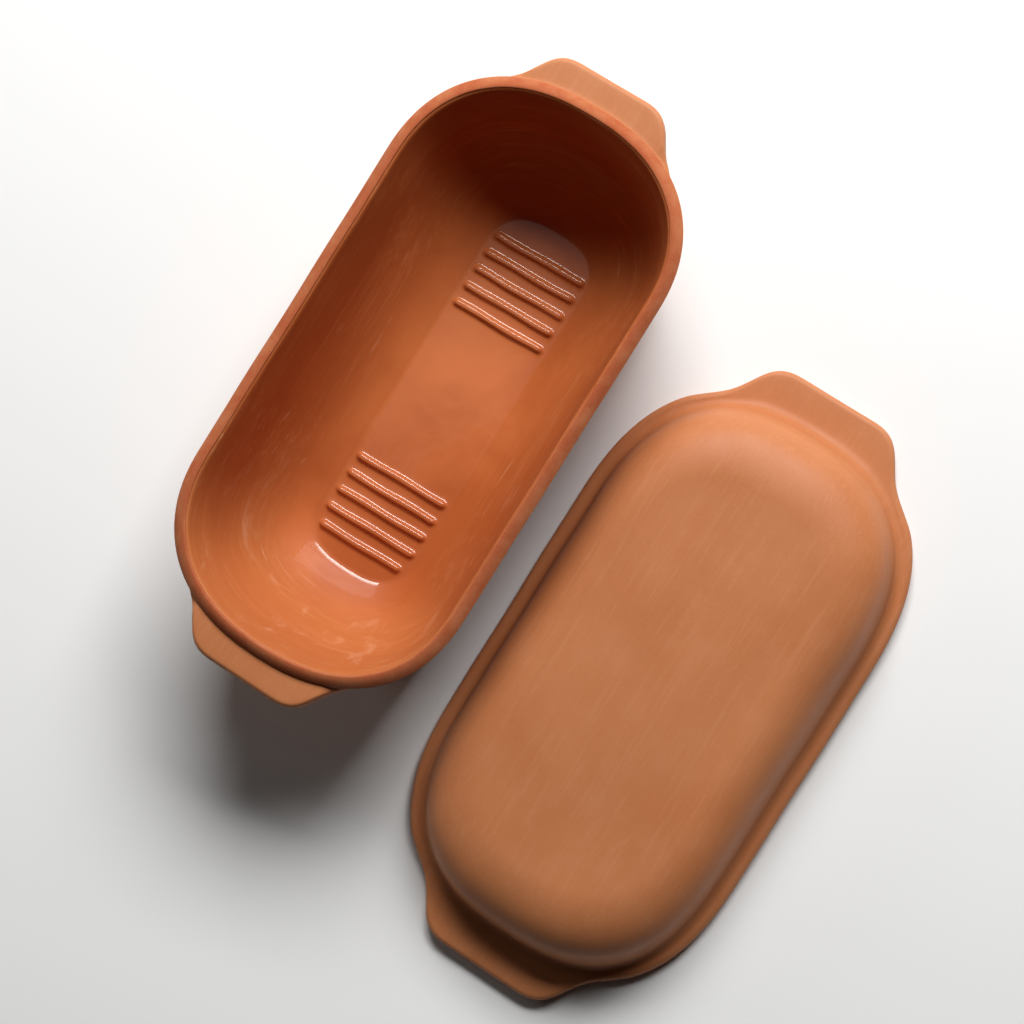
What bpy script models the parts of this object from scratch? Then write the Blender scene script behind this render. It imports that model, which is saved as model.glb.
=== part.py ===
"""Clay baker in two loose pieces: a deep oval dish with end lugs, and its domed lid beside it.

World frame: origin at the centre of the dish's foot, +Y along the dish, +Z up, in metres.
"""
import math

import bmesh
import bpy
from mathutils import Vector

MM = 0.001

# Dish: rim outline, heights and wall
DISH_HALF_WIDTH = 82.4 * MM
DISH_HALF_LENGTH = 165.0 * MM
DISH_STRAIGHT = 91.0 * MM
DISH_POWER = 2.3
DISH_HEIGHT = 93.0 * MM
WALL = 6.5 * MM
FLOOR_THICKNESS = 9.0 * MM
WALL_SLOPE = math.radians(11.5)
INNER_COVE = 35.0 * MM
FOOT_RADIUS = 34.0 * MM
RIM_ROUNDING = 1.7 * MM
END_RUN = 1.185
STRAIGHT_LOSS = 0.22

# Dish lugs: a flat grip under the rim at each end
LUG_TIP = 180.2 * MM
LUG_TIP_HALF = 30.8 * MM
LUG_WAIST_HALF = 43.2 * MM
LUG_WAIST_Y = 160.0 * MM
LUG_CORNER = 13.0 * MM
LUG_FLARE = 14.0 * MM
LUG_DROP = 7.0 * MM
LUG_THICKNESS = 10.0 * MM
LUG_EDGE = 3.0 * MM
LUG_COVE = 4.5 * MM
LUG_BLEND = 8.0 * MM
LUG_ROOT = 3.0 * MM

# Ribs on the dish floor, in two groups
RIB_COUNT = 5
RIB_END_GAP = 13.0 * MM
RIB_PITCH = 10.6 * MM
RIB_SHIFT = -2.4 * MM
RIB_SIDE_GAP = 2.2 * MM
RIB_LAST_GAP = 0.9 * MM
RIB_HALF_WIDTH = 2.4 * MM
RIB_HEIGHT = 2.2 * MM

# Glaze coat on the inside of the dish
GLAZE_GAP = 0.2 * MM
GLAZE_THICKNESS = 0.6 * MM
GLAZE_TOP_DROP = 2.4 * MM

# Lid: flange, lugs and dome
LID_X = 176.7 * MM
LID_Y = -70.4 * MM
LID_HALF_WIDTH = 90.9 * MM
LID_HALF_LENGTH = 163.0 * MM
LID_STRAIGHT = 62.0 * MM
LID_POWER = 2.58
LID_HEIGHT = 50.0 * MM
FLANGE_THICKNESS = 9.0 * MM
FLANGE_EDGE = 3.2 * MM
FLANGE_WIDTH = 9.0 * MM
LID_LUG_TIP = 179.0 * MM
LID_LUG_TIP_HALF = 35.3 * MM
LID_LUG_WAIST_HALF = 50.5 * MM
LID_LUG_WAIST_Y = 154.5 * MM
LID_LUG_CORNER = 16.0 * MM
LID_LUG_FLARE = 30.0 * MM
DOME_SLOPE = math.radians(12.0)
DOME_ROLL = 25.0 * MM
DOME_COVE = 4.0 * MM
DOME_CROWN = 2.0 * MM
DOME_END_RUN = 1.5
DOME_STRAIGHT_LOSS = 0.6
LID_WALL = 6.5 * MM
LID_CEILING_FLAT = 0.45

# Points on a quarter of an outline: straight side, bend, then the end with the lug
SIDE_POINTS = 2
BEND_POINTS = 7
CAVITY_BEND_POINTS = 10
LUG_BODY_ANGLE = 0.80
CORNER_STEPS = 4
LUG_SPACING = 9.0 * MM
ARC_STEPS = 6
CAP_STRIP = 3.0 * MM
CUT_PAST = 6.0 * MM
MERGE_DISTANCE = 0.002 * MM

COLLECTION = "clay_baker"
CUTTERS = "clay_baker_cutters"


def clear_scene():
    """Remove every object and collection that the file starts with."""
    for obj in list(bpy.data.objects):
        bpy.data.objects.remove(obj, do_unlink=True)
    for coll in list(bpy.data.collections):
        bpy.data.collections.remove(coll)


def new_collection(name, hidden=False):
    """Make a collection under the scene, out of the render when it holds cutters."""
    coll = bpy.data.collections.new(name)
    bpy.context.scene.collection.children.link(coll)
    coll.hide_render = hidden
    return coll


def material(name, colour, roughness):
    """Make a plain surface of one colour for one piece."""
    mat = bpy.data.materials.new(name)
    mat.use_nodes = True
    shader = mat.node_tree.nodes["Principled BSDF"]
    shader.inputs["Base Color"].default_value = (*colour, 1.0)
    shader.inputs["Roughness"].default_value = roughness
    shader.inputs["Metallic"].default_value = 0.0
    mat.diffuse_color = (*colour, 1.0)
    return mat


def oval(half_width, half_length, straight, power):
    """One outline: straight sides up to a given length, closed by two rounded ends."""
    return {"hw": half_width, "hl": half_length, "st": straight, "p": power}


def bend_point(outline, angle):
    """Point on the rounded end of an outline, from its side at 0 to its tip at 90 degrees."""
    x = outline["hw"] * max(math.cos(angle), 0.0) ** (2.0 / outline["p"])
    rise = max(math.sin(angle), 0.0) ** (2.0 / outline["p"])
    return Vector((x, outline["st"] + (outline["hl"] - outline["st"]) * rise))


def rounded_path(points, radii, steps):
    """Path through the points with the inner corners replaced by arcs of the given radii."""
    path = [points[0]]
    for before, corner, after, radius in zip(points, points[1:], points[2:], radii):
        to_before = (before - corner).normalized()
        to_after = (after - corner).normalized()
        opening = to_before.angle(to_after)
        reach = min(radius / math.tan(opening / 2.0), 0.48 * (before - corner).length)
        reach = min(reach, 0.48 * (after - corner).length)
        start = corner + to_before * reach
        end = corner + to_after * reach
        for step in range(steps + 1):
            share = step / steps
            first = start.lerp(corner, share)
            second = corner.lerp(end, share)
            path.append(first.lerp(second, share))
    path.append(points[-1])
    return path


def split_path(path, longest):
    """The same path with its long stretches cut into even steps."""
    result = [path[0]]
    for start, end in zip(path, path[1:]):
        count = max(1, math.ceil((end - start).length / longest))
        for step in range(1, count + 1):
            result.append(start.lerp(end, step / count))
    return result


def share_along(path):
    """How far along the path each of its points lies, from 0 to 1."""
    lengths = [0.0]
    for start, end in zip(path, path[1:]):
        lengths.append(lengths[-1] + (end - start).length)
    return [length / lengths[-1] for length in lengths]


def end_angles(outline, shares, first_angle):
    """Angles on an outline's end that split its arc in the given shares."""
    fine = [first_angle + (math.pi / 2.0 - first_angle) * step / 200 for step in range(201)]
    arc = share_along([bend_point(outline, angle) for angle in fine])
    angles = []
    for share in shares:
        index = min(range(len(arc)), key=lambda i: abs(arc[i] - share))
        angles.append(fine[index])
    angles[-1] = math.pi / 2.0
    return angles


def mirror_quarter(quarter):
    """Close a ring from its quarter, which runs from +X round to +Y."""
    ring = list(quarter)
    ring += [(-x, y, z) for x, y, z in reversed(quarter[:-1])]
    ring += [(-x, -y, z) for x, y, z in quarter[1:]]
    ring += [(x, -y, z) for x, y, z in reversed(quarter[1:-1])]
    return ring


def cap(mesh_data, ring, upward):
    """Close a ring with strips from side to side, each at least the least width deep."""
    tip = len(ring) // 4
    steps = len(ring) // 2
    right = [ring[(tip - step) % len(ring)] for step in range(steps + 1)]
    left = [ring[tip + step] for step in range(steps + 1)]
    first = 0
    for last in range(1, steps + 1):
        deep = right[first].co.y - right[last].co.y >= CAP_STRIP
        room = right[last].co.y - right[-1].co.y >= CAP_STRIP
        if last == steps or (deep and room):
            corners = left[first:last + 1] + right[first:last + 1][::-1]
            corners = list(dict.fromkeys(corners))
            mesh_data.faces.new(corners if upward else list(reversed(corners)))
            first = last


def loft(name, quarters, coll):
    """Closed solid through a stack of rings, lowest first, with a cap on each end ring."""
    mesh_data = bmesh.new()
    rings = []
    for quarter in quarters:
        rings.append([mesh_data.verts.new(point) for point in mirror_quarter(quarter)])
    count = len(rings[0])
    for low, high in zip(rings, rings[1:]):
        for i in range(count):
            j = (i + 1) % count
            mesh_data.faces.new((low[i], low[j], high[j], high[i]))
    cap(mesh_data, rings[0], upward=False)
    cap(mesh_data, rings[-1], upward=True)
    mesh_data.normal_update()
    mesh = bpy.data.meshes.new(name)
    mesh_data.to_mesh(mesh)
    mesh_data.free()
    obj = bpy.data.objects.new(name, mesh)
    coll.objects.link(obj)
    return obj


def arc_profile(height, slope, radius, steps):
    """Section of a tapered wall that rounds into a flat: (inset, rise) pairs from the flat up.

    The wall's line leans in by the slope over the height, so the flat starts after that run
    and the rounding. The inset is measured in from the wall's far end.
    """
    run = height * math.tan(slope)
    turn = math.pi / 2.0 - slope
    centre = run + radius * math.tan(turn / 2.0)
    pairs = []
    for step in range(steps + 1):
        angle = turn * step / steps
        pairs.append((centre - radius * math.sin(angle), radius - radius * math.cos(angle)))
    return pairs


def boolean(target, tool, operation):
    """Join or cut one solid with another and keep the result as a plain mesh."""
    modifier = target.modifiers.new("cut", "BOOLEAN")
    modifier.operation = operation
    modifier.solver = "EXACT"
    modifier.object = tool
    depsgraph = bpy.context.evaluated_depsgraph_get()
    result = bpy.data.meshes.new_from_object(target.evaluated_get(depsgraph))
    old = target.data
    target.modifiers.clear()
    target.data = result
    bpy.data.meshes.remove(old)


def merge_close(obj):
    """Merge doubled points and drop the loose edges that a cut can leave."""
    mesh_data = bmesh.new()
    mesh_data.from_mesh(obj.data)
    bmesh.ops.remove_doubles(mesh_data, verts=mesh_data.verts, dist=MERGE_DISTANCE)
    bmesh.ops.dissolve_degenerate(mesh_data, edges=mesh_data.edges, dist=0.5 * MERGE_DISTANCE)
    loose = [edge for edge in mesh_data.edges if not edge.link_faces]
    bmesh.ops.delete(mesh_data, geom=loose, context="EDGES")
    mesh_data.to_mesh(obj.data)
    mesh_data.free()


def dish_outline(inset):
    """Outer outline of the dish, drawn in from the rim; the ends lean in more than the sides."""
    return oval(
        DISH_HALF_WIDTH - inset,
        DISH_HALF_LENGTH - END_RUN * inset,
        DISH_STRAIGHT - STRAIGHT_LOSS * inset,
        DISH_POWER,
    )


def cavity_outline(inset):
    """Outline of the dish's hollow, drawn in from the rim's inner edge."""
    return oval(
        DISH_HALF_WIDTH - WALL - inset,
        DISH_HALF_LENGTH - WALL - END_RUN * inset,
        DISH_STRAIGHT - STRAIGHT_LOSS * inset,
        DISH_POWER,
    )


def hollow_profile():
    """Section of the dish's hollow: (inset, rise) pairs from the edge of its flat floor up."""
    height = DISH_HEIGHT - RIM_ROUNDING - FLOOR_THICKNESS
    return arc_profile(height, WALL_SLOPE, INNER_COVE, ARC_STEPS)


def half_width_at(outline, y):
    """Half the width of an outline at a distance along it."""
    along = max(abs(y) - outline["st"], 0.0) / (outline["hl"] - outline["st"])
    return outline["hw"] * max(1.0 - along ** outline["p"], 0.0) ** (1.0 / outline["p"])


def dome_outline(inset):
    """Outline of the lid's dome, drawn in from its foot on the flange."""
    return oval(
        LID_HALF_WIDTH - FLANGE_WIDTH - inset,
        LID_HALF_LENGTH - FLANGE_WIDTH - DOME_END_RUN * inset,
        LID_STRAIGHT - DOME_STRAIGHT_LOSS * inset,
        LID_POWER,
    )


def lug_path(outline, waist_half, waist_y, tip_half, tip_y, flare, corner):
    """Quarter of the outline round a lug, from the body's bend to the middle of its tip."""
    points = [
        bend_point(outline, LUG_BODY_ANGLE),
        Vector((waist_half, waist_y)),
        Vector((tip_half, tip_y)),
        Vector((0.0, tip_y)),
    ]
    path = rounded_path(points, (flare, corner), CORNER_STEPS)
    return split_path(path, LUG_SPACING)


def quarter_points(outline, angles):
    """Quarter of a plain outline: the straight side, then the given angles of its end."""
    points = []
    for step in range(SIDE_POINTS):
        points.append(Vector((outline["hw"], outline["st"] * step / SIDE_POINTS)))
    points += [bend_point(outline, angle) for angle in angles]
    return points


def lugged_angles(outline, path):
    """Angles of an outline's end that face the points of a lug's path."""
    bend = [LUG_BODY_ANGLE * step / BEND_POINTS for step in range(BEND_POINTS)]
    return bend + end_angles(outline, share_along(path), LUG_BODY_ANGLE)


def smooth(value):
    """Ease from 0 to 1."""
    value = min(max(value, 0.0), 1.0)
    return value * value * (3.0 - 2.0 * value)


def lug_ring(outline, z_body, lug, lug_z, reach, from_tip):
    """Ring that follows the body and bulges out over a lug.

    The reach is how far the ring stands out from the body over the lug, or how far it stays
    inside the lug's edge when it is counted from the tip.
    """
    path, angles, rim_outline = lug
    body = quarter_points(outline, angles)
    rim = quarter_points(rim_outline, angles)
    first = SIDE_POINTS + BEND_POINTS
    ring = []
    for index, point in enumerate(body):
        if index < first:
            ring.append((point.x, point.y, z_body))
            continue
        span = path[index - first] - rim[index]
        length = span.length
        if from_tip:
            distance = length - reach * min(1.0, length / (3.0 * LUG_ROOT))
            base = rim[index]
        else:
            distance = min(reach, 0.5 * length)
            base = point
        weight = smooth(length / LUG_BLEND)
        if length > 1e-6:
            place = base + span * (distance / length)
        else:
            place = point
        place = point.lerp(place, smooth(length / LUG_ROOT))
        ring.append((place.x, place.y, z_body + (lug_z - z_body) * weight))
    return ring


def build_dish_outer(coll):
    """Outside of the dish with both lugs, as one solid without its hollow."""
    rim = dish_outline(0.0)
    path = lug_path(rim, LUG_WAIST_HALF, LUG_WAIST_Y, LUG_TIP_HALF, LUG_TIP, LUG_FLARE, LUG_CORNER)
    angles = lugged_angles(rim, path)
    lug = (path, angles, rim)
    top = DISH_HEIGHT - LUG_DROP
    low = top - LUG_THICKNESS

    def inset(z):
        return max(0.0, (DISH_HEIGHT - RIM_ROUNDING - z) * math.tan(WALL_SLOPE))

    def plain(at, z):
        return [(point.x, point.y, z) for point in quarter_points(dish_outline(at), angles)]

    height = DISH_HEIGHT - RIM_ROUNDING
    rings = [plain(at, z) for at, z in arc_profile(height, WALL_SLOPE, FOOT_RADIUS, ARC_STEPS)]
    middle = (rings[-1][0][2] + low) / 2.0
    rings.append(plain(inset(middle), middle))
    levels = (
        (low - 0.75 * LUG_COVE, low - 0.80 * LUG_COVE, 0.0, False),
        (low - 0.35 * LUG_COVE, low - 0.13 * LUG_COVE, 0.70 * LUG_COVE, False),
        (low + 0.07 * LUG_EDGE, low, 0.80 * LUG_EDGE, True),
        (low + 0.53 * LUG_EDGE, low + 0.30 * LUG_EDGE, 0.22 * LUG_EDGE, True),
        (low + 1.13 * LUG_EDGE, low + LUG_EDGE, 0.0, True),
        (top - 1.13 * LUG_EDGE, top - LUG_EDGE, 0.0, True),
        (top - 0.60 * LUG_EDGE, top - 0.27 * LUG_EDGE, 0.25 * LUG_EDGE, True),
        (top - 0.20 * LUG_EDGE, top - 0.03 * LUG_EDGE, 0.85 * LUG_EDGE, True),
        (top + 0.18 * LUG_COVE, top + 0.02 * LUG_COVE, LUG_COVE, False),
        (top + 0.49 * LUG_COVE, top + 0.29 * LUG_COVE, 0.30 * LUG_COVE, False),
        (top + 0.80 * LUG_COVE, top + 0.76 * LUG_COVE, 0.0, False),
    )
    for z_body, lug_z, reach, from_tip in levels:
        rings.append(lug_ring(dish_outline(inset(z_body)), z_body, lug, lug_z, reach, from_tip))
    rings.append(plain(0.0, DISH_HEIGHT - RIM_ROUNDING))
    rings.append(plain(0.29 * RIM_ROUNDING, DISH_HEIGHT - 0.29 * RIM_ROUNDING))
    rings.append(plain(RIM_ROUNDING, DISH_HEIGHT))
    return loft("dish_body", rings, coll)


def cavity_quarter(inset, z, offset):
    """Quarter ring of the dish's hollow, drawn in by an even offset."""
    outline = cavity_outline(inset)
    outline["hw"] -= offset
    outline["hl"] -= offset
    angles = [math.pi / 2.0 * step / CAVITY_BEND_POINTS for step in range(CAVITY_BEND_POINTS + 1)]
    return [(point.x, point.y, z) for point in quarter_points(outline, angles)]


def hollow_rings(offset, top):
    """Rings of the dish's hollow from its floor up to a height, drawn in by an even offset."""
    rim_foot = DISH_HEIGHT - RIM_ROUNDING
    pairs = hollow_profile()
    rings = []
    for inset, rise in pairs:
        rings.append(cavity_quarter(inset, FLOOR_THICKNESS + rise + offset, offset))
    wall_foot = FLOOR_THICKNESS + pairs[-1][1] + offset
    for share in (0.5, 1.0):
        z = wall_foot + (min(rim_foot, top) - wall_foot) * share
        rings.append(cavity_quarter((rim_foot - z) * math.tan(WALL_SLOPE), z, offset))
    return rings


def build_dish_hollow(coll):
    """Solid that fills the dish's hollow and flares over the rounded inner edge of the rim."""
    rings = hollow_rings(0.0, DISH_HEIGHT)
    rings.append(cavity_quarter(-0.29 * RIM_ROUNDING, DISH_HEIGHT - 0.29 * RIM_ROUNDING, 0.0))
    rings.append(cavity_quarter(-RIM_ROUNDING, DISH_HEIGHT, 0.0))
    rings.append(cavity_quarter(-RIM_ROUNDING, DISH_HEIGHT + CUT_PAST, 0.0))
    return loft("dish_hollow", rings, coll)


def rib_places():
    """Middle and half length of every rib, counted in from both ends of the flat floor.

    Both groups are moved together along the dish by a small shift.
    """
    floor = cavity_outline(hollow_profile()[0][0])
    for side in (-1.0, 1.0):
        for index in range(RIB_COUNT):
            y = side * (floor["hl"] - RIB_END_GAP - index * RIB_PITCH) + RIB_SHIFT
            gap = RIB_SIDE_GAP if index else RIB_LAST_GAP
            yield y, half_width_at(floor, y) - gap


def build_rib(name, coll, y, half, offset, lowest):
    """One floor rib as a rounded bar across the dish, thicker all round by an offset."""
    mesh_data = bmesh.new()
    bar = bmesh.ops.create_uvsphere(mesh_data, u_segments=10, v_segments=6, radius=1.0)
    straight = half - RIB_HALF_WIDTH
    for vert in bar["verts"]:
        along, across, up = vert.co.z, vert.co.x, vert.co.y
        shift = math.copysign(straight, along) if abs(along) > 0.01 else 0.0
        vert.co = Vector((
            along * (RIB_HALF_WIDTH + offset) + shift,
            y + across * (RIB_HALF_WIDTH + offset),
            max(FLOOR_THICKNESS + up * (RIB_HEIGHT + offset), lowest),
        ))
    mesh_data.normal_update()
    mesh = bpy.data.meshes.new(name)
    mesh_data.to_mesh(mesh)
    mesh_data.free()
    obj = bpy.data.objects.new(name, mesh)
    coll.objects.link(obj)
    return obj


def apply_ribs(target, name, coll, offset, lowest, operation):
    """Join or cut the ribs of both groups with a solid, one after the other."""
    for number, (y, half) in enumerate(rib_places(), start=1):
        rib = build_rib(f"{name}_{number}", coll, y, half, offset, lowest)
        boolean(target, rib, operation)


def build_dish(coll, cutters):
    """Dish body: the outside, less its hollow, plus the ribs on its floor."""
    dish = build_dish_outer(coll)
    boolean(dish, build_dish_hollow(cutters), "DIFFERENCE")
    apply_ribs(dish, "clay_rib", cutters, 0.0, 0.5 * FLOOR_THICKNESS, "UNION")
    merge_close(dish)
    return dish


def build_glaze(coll, cutters):
    """Glaze coat: a thin skin over the dish's inside and over its ribs."""
    inner = GLAZE_GAP + GLAZE_THICKNESS
    top = DISH_HEIGHT - GLAZE_TOP_DROP
    rings = hollow_rings(GLAZE_GAP, top)
    rings += reversed(hollow_rings(inner, top))
    skin = loft("dish_glaze", rings, coll)
    middle = FLOOR_THICKNESS + GLAZE_GAP + 0.5 * GLAZE_THICKNESS
    apply_ribs(skin, "glaze_over_rib", cutters, inner, middle, "UNION")
    apply_ribs(skin, "glaze_under_rib", cutters, GLAZE_GAP, 0.5 * FLOOR_THICKNESS, "DIFFERENCE")
    merge_close(skin)
    return skin


def build_lid_outer(coll):
    """Outside of the lid: flange with both lugs and the dome on it, without its hollow."""
    edge = oval(LID_HALF_WIDTH, LID_HALF_LENGTH, LID_STRAIGHT, LID_POWER)
    path = lug_path(
        edge, LID_LUG_WAIST_HALF, LID_LUG_WAIST_Y, LID_LUG_TIP_HALF, LID_LUG_TIP,
        LID_LUG_FLARE, LID_LUG_CORNER,
    )
    angles = lugged_angles(edge, path)
    rim = quarter_points(edge, angles[:BEND_POINTS]) + path
    foot = quarter_points(dome_outline(0.0), angles)

    def flange(inset, z):
        ring = []
        for outer, inner in zip(rim, foot):
            span = inner - outer
            place = outer + span * (inset / span.length)
            ring.append((place.x, place.y, z))
        return ring

    def dome(inset, z):
        return [(point.x, point.y, z) for point in quarter_points(dome_outline(inset), angles)]

    rings = [
        flange(0.75 * FLANGE_EDGE, 0.0),
        flange(0.18 * FLANGE_EDGE, 0.25 * FLANGE_EDGE),
        flange(0.0, 0.8 * FLANGE_EDGE),
        flange(0.0, FLANGE_THICKNESS - FLANGE_EDGE),
        flange(0.25 * FLANGE_EDGE, FLANGE_THICKNESS - 0.28 * FLANGE_EDGE),
        flange(FLANGE_EDGE, FLANGE_THICKNESS),
        dome(-DOME_COVE, FLANGE_THICKNESS),
        dome(-0.3 * DOME_COVE, FLANGE_THICKNESS + 0.3 * DOME_COVE),
        dome(0.0, FLANGE_THICKNESS + DOME_COVE),
    ]
    shoulder = LID_HEIGHT - DOME_CROWN
    height = shoulder - FLANGE_THICKNESS - DOME_COVE
    pairs = arc_profile(height, DOME_SLOPE, DOME_ROLL, ARC_STEPS)
    for inset, drop in reversed(pairs):
        rings.append(dome(inset, shoulder - drop))
    flat = pairs[0][0]
    left = LID_HALF_WIDTH - FLANGE_WIDTH - flat
    for share in (0.35, 0.68, 0.90):
        rings.append(dome(flat + left * share, shoulder + DOME_CROWN * smooth(0.15 + 0.95 * share)))
    return loft("lid", rings, coll)


def build_lid_hollow(coll):
    """Solid that fills the underside of the lid."""
    angles = [math.pi / 2.0 * step / CAVITY_BEND_POINTS for step in range(CAVITY_BEND_POINTS + 1)]

    def ring(inset, z):
        return [(point.x, point.y, z) for point in quarter_points(dome_outline(inset), angles)]

    ceiling = LID_HEIGHT - DOME_CROWN - LID_WALL
    pairs = arc_profile(ceiling, DOME_SLOPE * 0.7, DOME_ROLL - 0.5 * LID_WALL, ARC_STEPS)
    mouth = LID_WALL - RIM_ROUNDING
    rings = [ring(mouth, -CUT_PAST), ring(mouth, 0.0), ring(LID_WALL, RIM_ROUNDING)]
    for inset, drop in reversed(pairs):
        rings.append(ring(LID_WALL + inset, ceiling - drop))
    flat = LID_WALL + pairs[0][0]
    inner = flat + LID_CEILING_FLAT * (LID_HALF_WIDTH - FLANGE_WIDTH - flat)
    rings.append(ring(inner, ceiling + 0.6 * DOME_CROWN))
    return loft("lid_hollow", rings, coll)


def build_lid(coll, cutters):
    """Lid: the domed outside less its hollow, set down beside the dish."""
    lid = build_lid_outer(coll)
    hollow = build_lid_hollow(cutters)
    boolean(lid, hollow, "DIFFERENCE")
    merge_close(lid)
    for vert in lid.data.vertices:
        vert.co.x += LID_X
        vert.co.y += LID_Y
    return lid


def main():
    """Build the baker's pieces."""
    clear_scene()
    coll = new_collection(COLLECTION)
    cutters = new_collection(CUTTERS, hidden=True)
    dish = build_dish(coll, cutters)
    glaze = build_glaze(coll, cutters)
    lid = build_lid(coll, cutters)
    dish.data.materials.append(material("fired_clay", (0.58, 0.24, 0.10), 0.85))
    glaze.data.materials.append(material("clear_glaze", (0.52, 0.17, 0.06), 0.18))
    lid.data.materials.append(material("lid_clay", (0.56, 0.23, 0.10), 0.85))
    for cutter in cutters.objects:
        cutter.hide_render = True
        cutter.display_type = "WIRE"


main()
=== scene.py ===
"""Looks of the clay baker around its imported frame: smooth clay, a glazed inside with ribs, and the lid."""
import math

import bpy
import numpy as np
from bpy.props import FloatProperty, FloatVectorProperty, IntProperty, PointerProperty
from mathutils import Matrix, Vector


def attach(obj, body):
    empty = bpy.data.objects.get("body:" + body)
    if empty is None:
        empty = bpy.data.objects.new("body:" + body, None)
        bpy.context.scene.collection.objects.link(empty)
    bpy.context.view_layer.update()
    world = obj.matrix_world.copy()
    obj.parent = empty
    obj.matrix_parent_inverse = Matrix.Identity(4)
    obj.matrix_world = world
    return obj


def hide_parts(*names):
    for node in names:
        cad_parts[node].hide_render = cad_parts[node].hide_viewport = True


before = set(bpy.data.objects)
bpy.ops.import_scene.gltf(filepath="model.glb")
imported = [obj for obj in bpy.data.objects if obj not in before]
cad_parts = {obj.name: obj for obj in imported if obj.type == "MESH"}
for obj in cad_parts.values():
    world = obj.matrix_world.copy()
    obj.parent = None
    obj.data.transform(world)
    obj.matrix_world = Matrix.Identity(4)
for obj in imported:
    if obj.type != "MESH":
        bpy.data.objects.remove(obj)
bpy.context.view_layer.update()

bl_info = {
    "name": "Clay baker looks",
    "version": (1, 0, 0),
    "blender": (4, 5, 0),
    "location": "View3D > Sidebar > Clay baker",
    "description": "Dresses the packed clay baker with smooth clay, glaze and a studio",
    "category": "Object",
}

DISH_BODY = "dish"
LID_BODY = "lid"
QUARTER_TURN = math.pi / 2.0

# Columns on a quarter of a piece of bare clay
QUARTER_COLUMNS = 180
# Columns of the glaze coat on a quarter: along the middle, beside the ribs, and across the end
MIDDLE_COLUMNS = 20
RIB_COLUMNS = 180
END_COLUMNS = 36
# Where the columns beside the ribs start, along the dish
RIB_COLUMNS_START = 0.040
# Turn at which the glaze's floor patch has its corners
PATCH_CORNER = 1.52
# How far that patch reaches up the hollow beyond the edge of its floor
PATCH_REACH = 0.0043
# Angles along a small rounding
BEND = np.linspace(0.0, QUARTER_TURN, 8)
# Shares of a flat's outline, from beside its middle outwards
SPOKES = np.linspace(0.04, 1.0, 9)[:-1, None]
# Fine steps for measuring along an outline's side or end, and steps round a lug's corner
FINE_STEPS = 2000
CORNER_STEPS = 40
# Angle round the end at which a lug starts, and how far its outline is evened out, in columns
LUG_START = 0.80
LUG_EVENING = 2.6
# Share of the rim's fall that slopes outwards, its curve, and the share that rounds over at the outside
RIM_SLOPED = 0.8
RIM_CURVE = 1.6
RIM_ROUNDED = 0.2
# Times a range is halved to find a place on the hollow
HALVINGS = 30
# Height of the lid's hand-made waves as a share of the dish's
LID_WAVES = 1.3
# Radius of the circle that carries the places of brushed strokes
STROKE_RADIUS = 0.12
# How far the flat floor's strokes are drawn together across the dish
FLOOR_STROKES = 0.3


def length(name, description, default):
    """A size that a user may change, in metres."""
    return FloatProperty(name=name, description=description, default=default, unit="LENGTH", precision=5)


def watts(name, description, default):
    """A light's power in watts that a user may change."""
    return FloatProperty(name=name, description=description, default=default, unit="POWER")


def tilt(name, description, degrees):
    """An angle that a user may change, given in degrees."""
    return FloatProperty(name=name, description=description, default=math.radians(degrees), subtype="ANGLE")


def spot(name, description, default):
    """A place that a user may change, in metres."""
    return FloatVectorProperty(
        name=name, description=description, default=default, subtype="TRANSLATION", size=3
    )


def share(name, description, default):
    """A plain number that a user may change."""
    return FloatProperty(name=name, description=description, default=default, precision=4)


def colour(name, description, default):
    """A linear colour that a user may change."""
    return FloatVectorProperty(
        name=name, description=description, default=default, subtype="COLOR", size=3, min=0.0, max=1.0
    )


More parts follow.
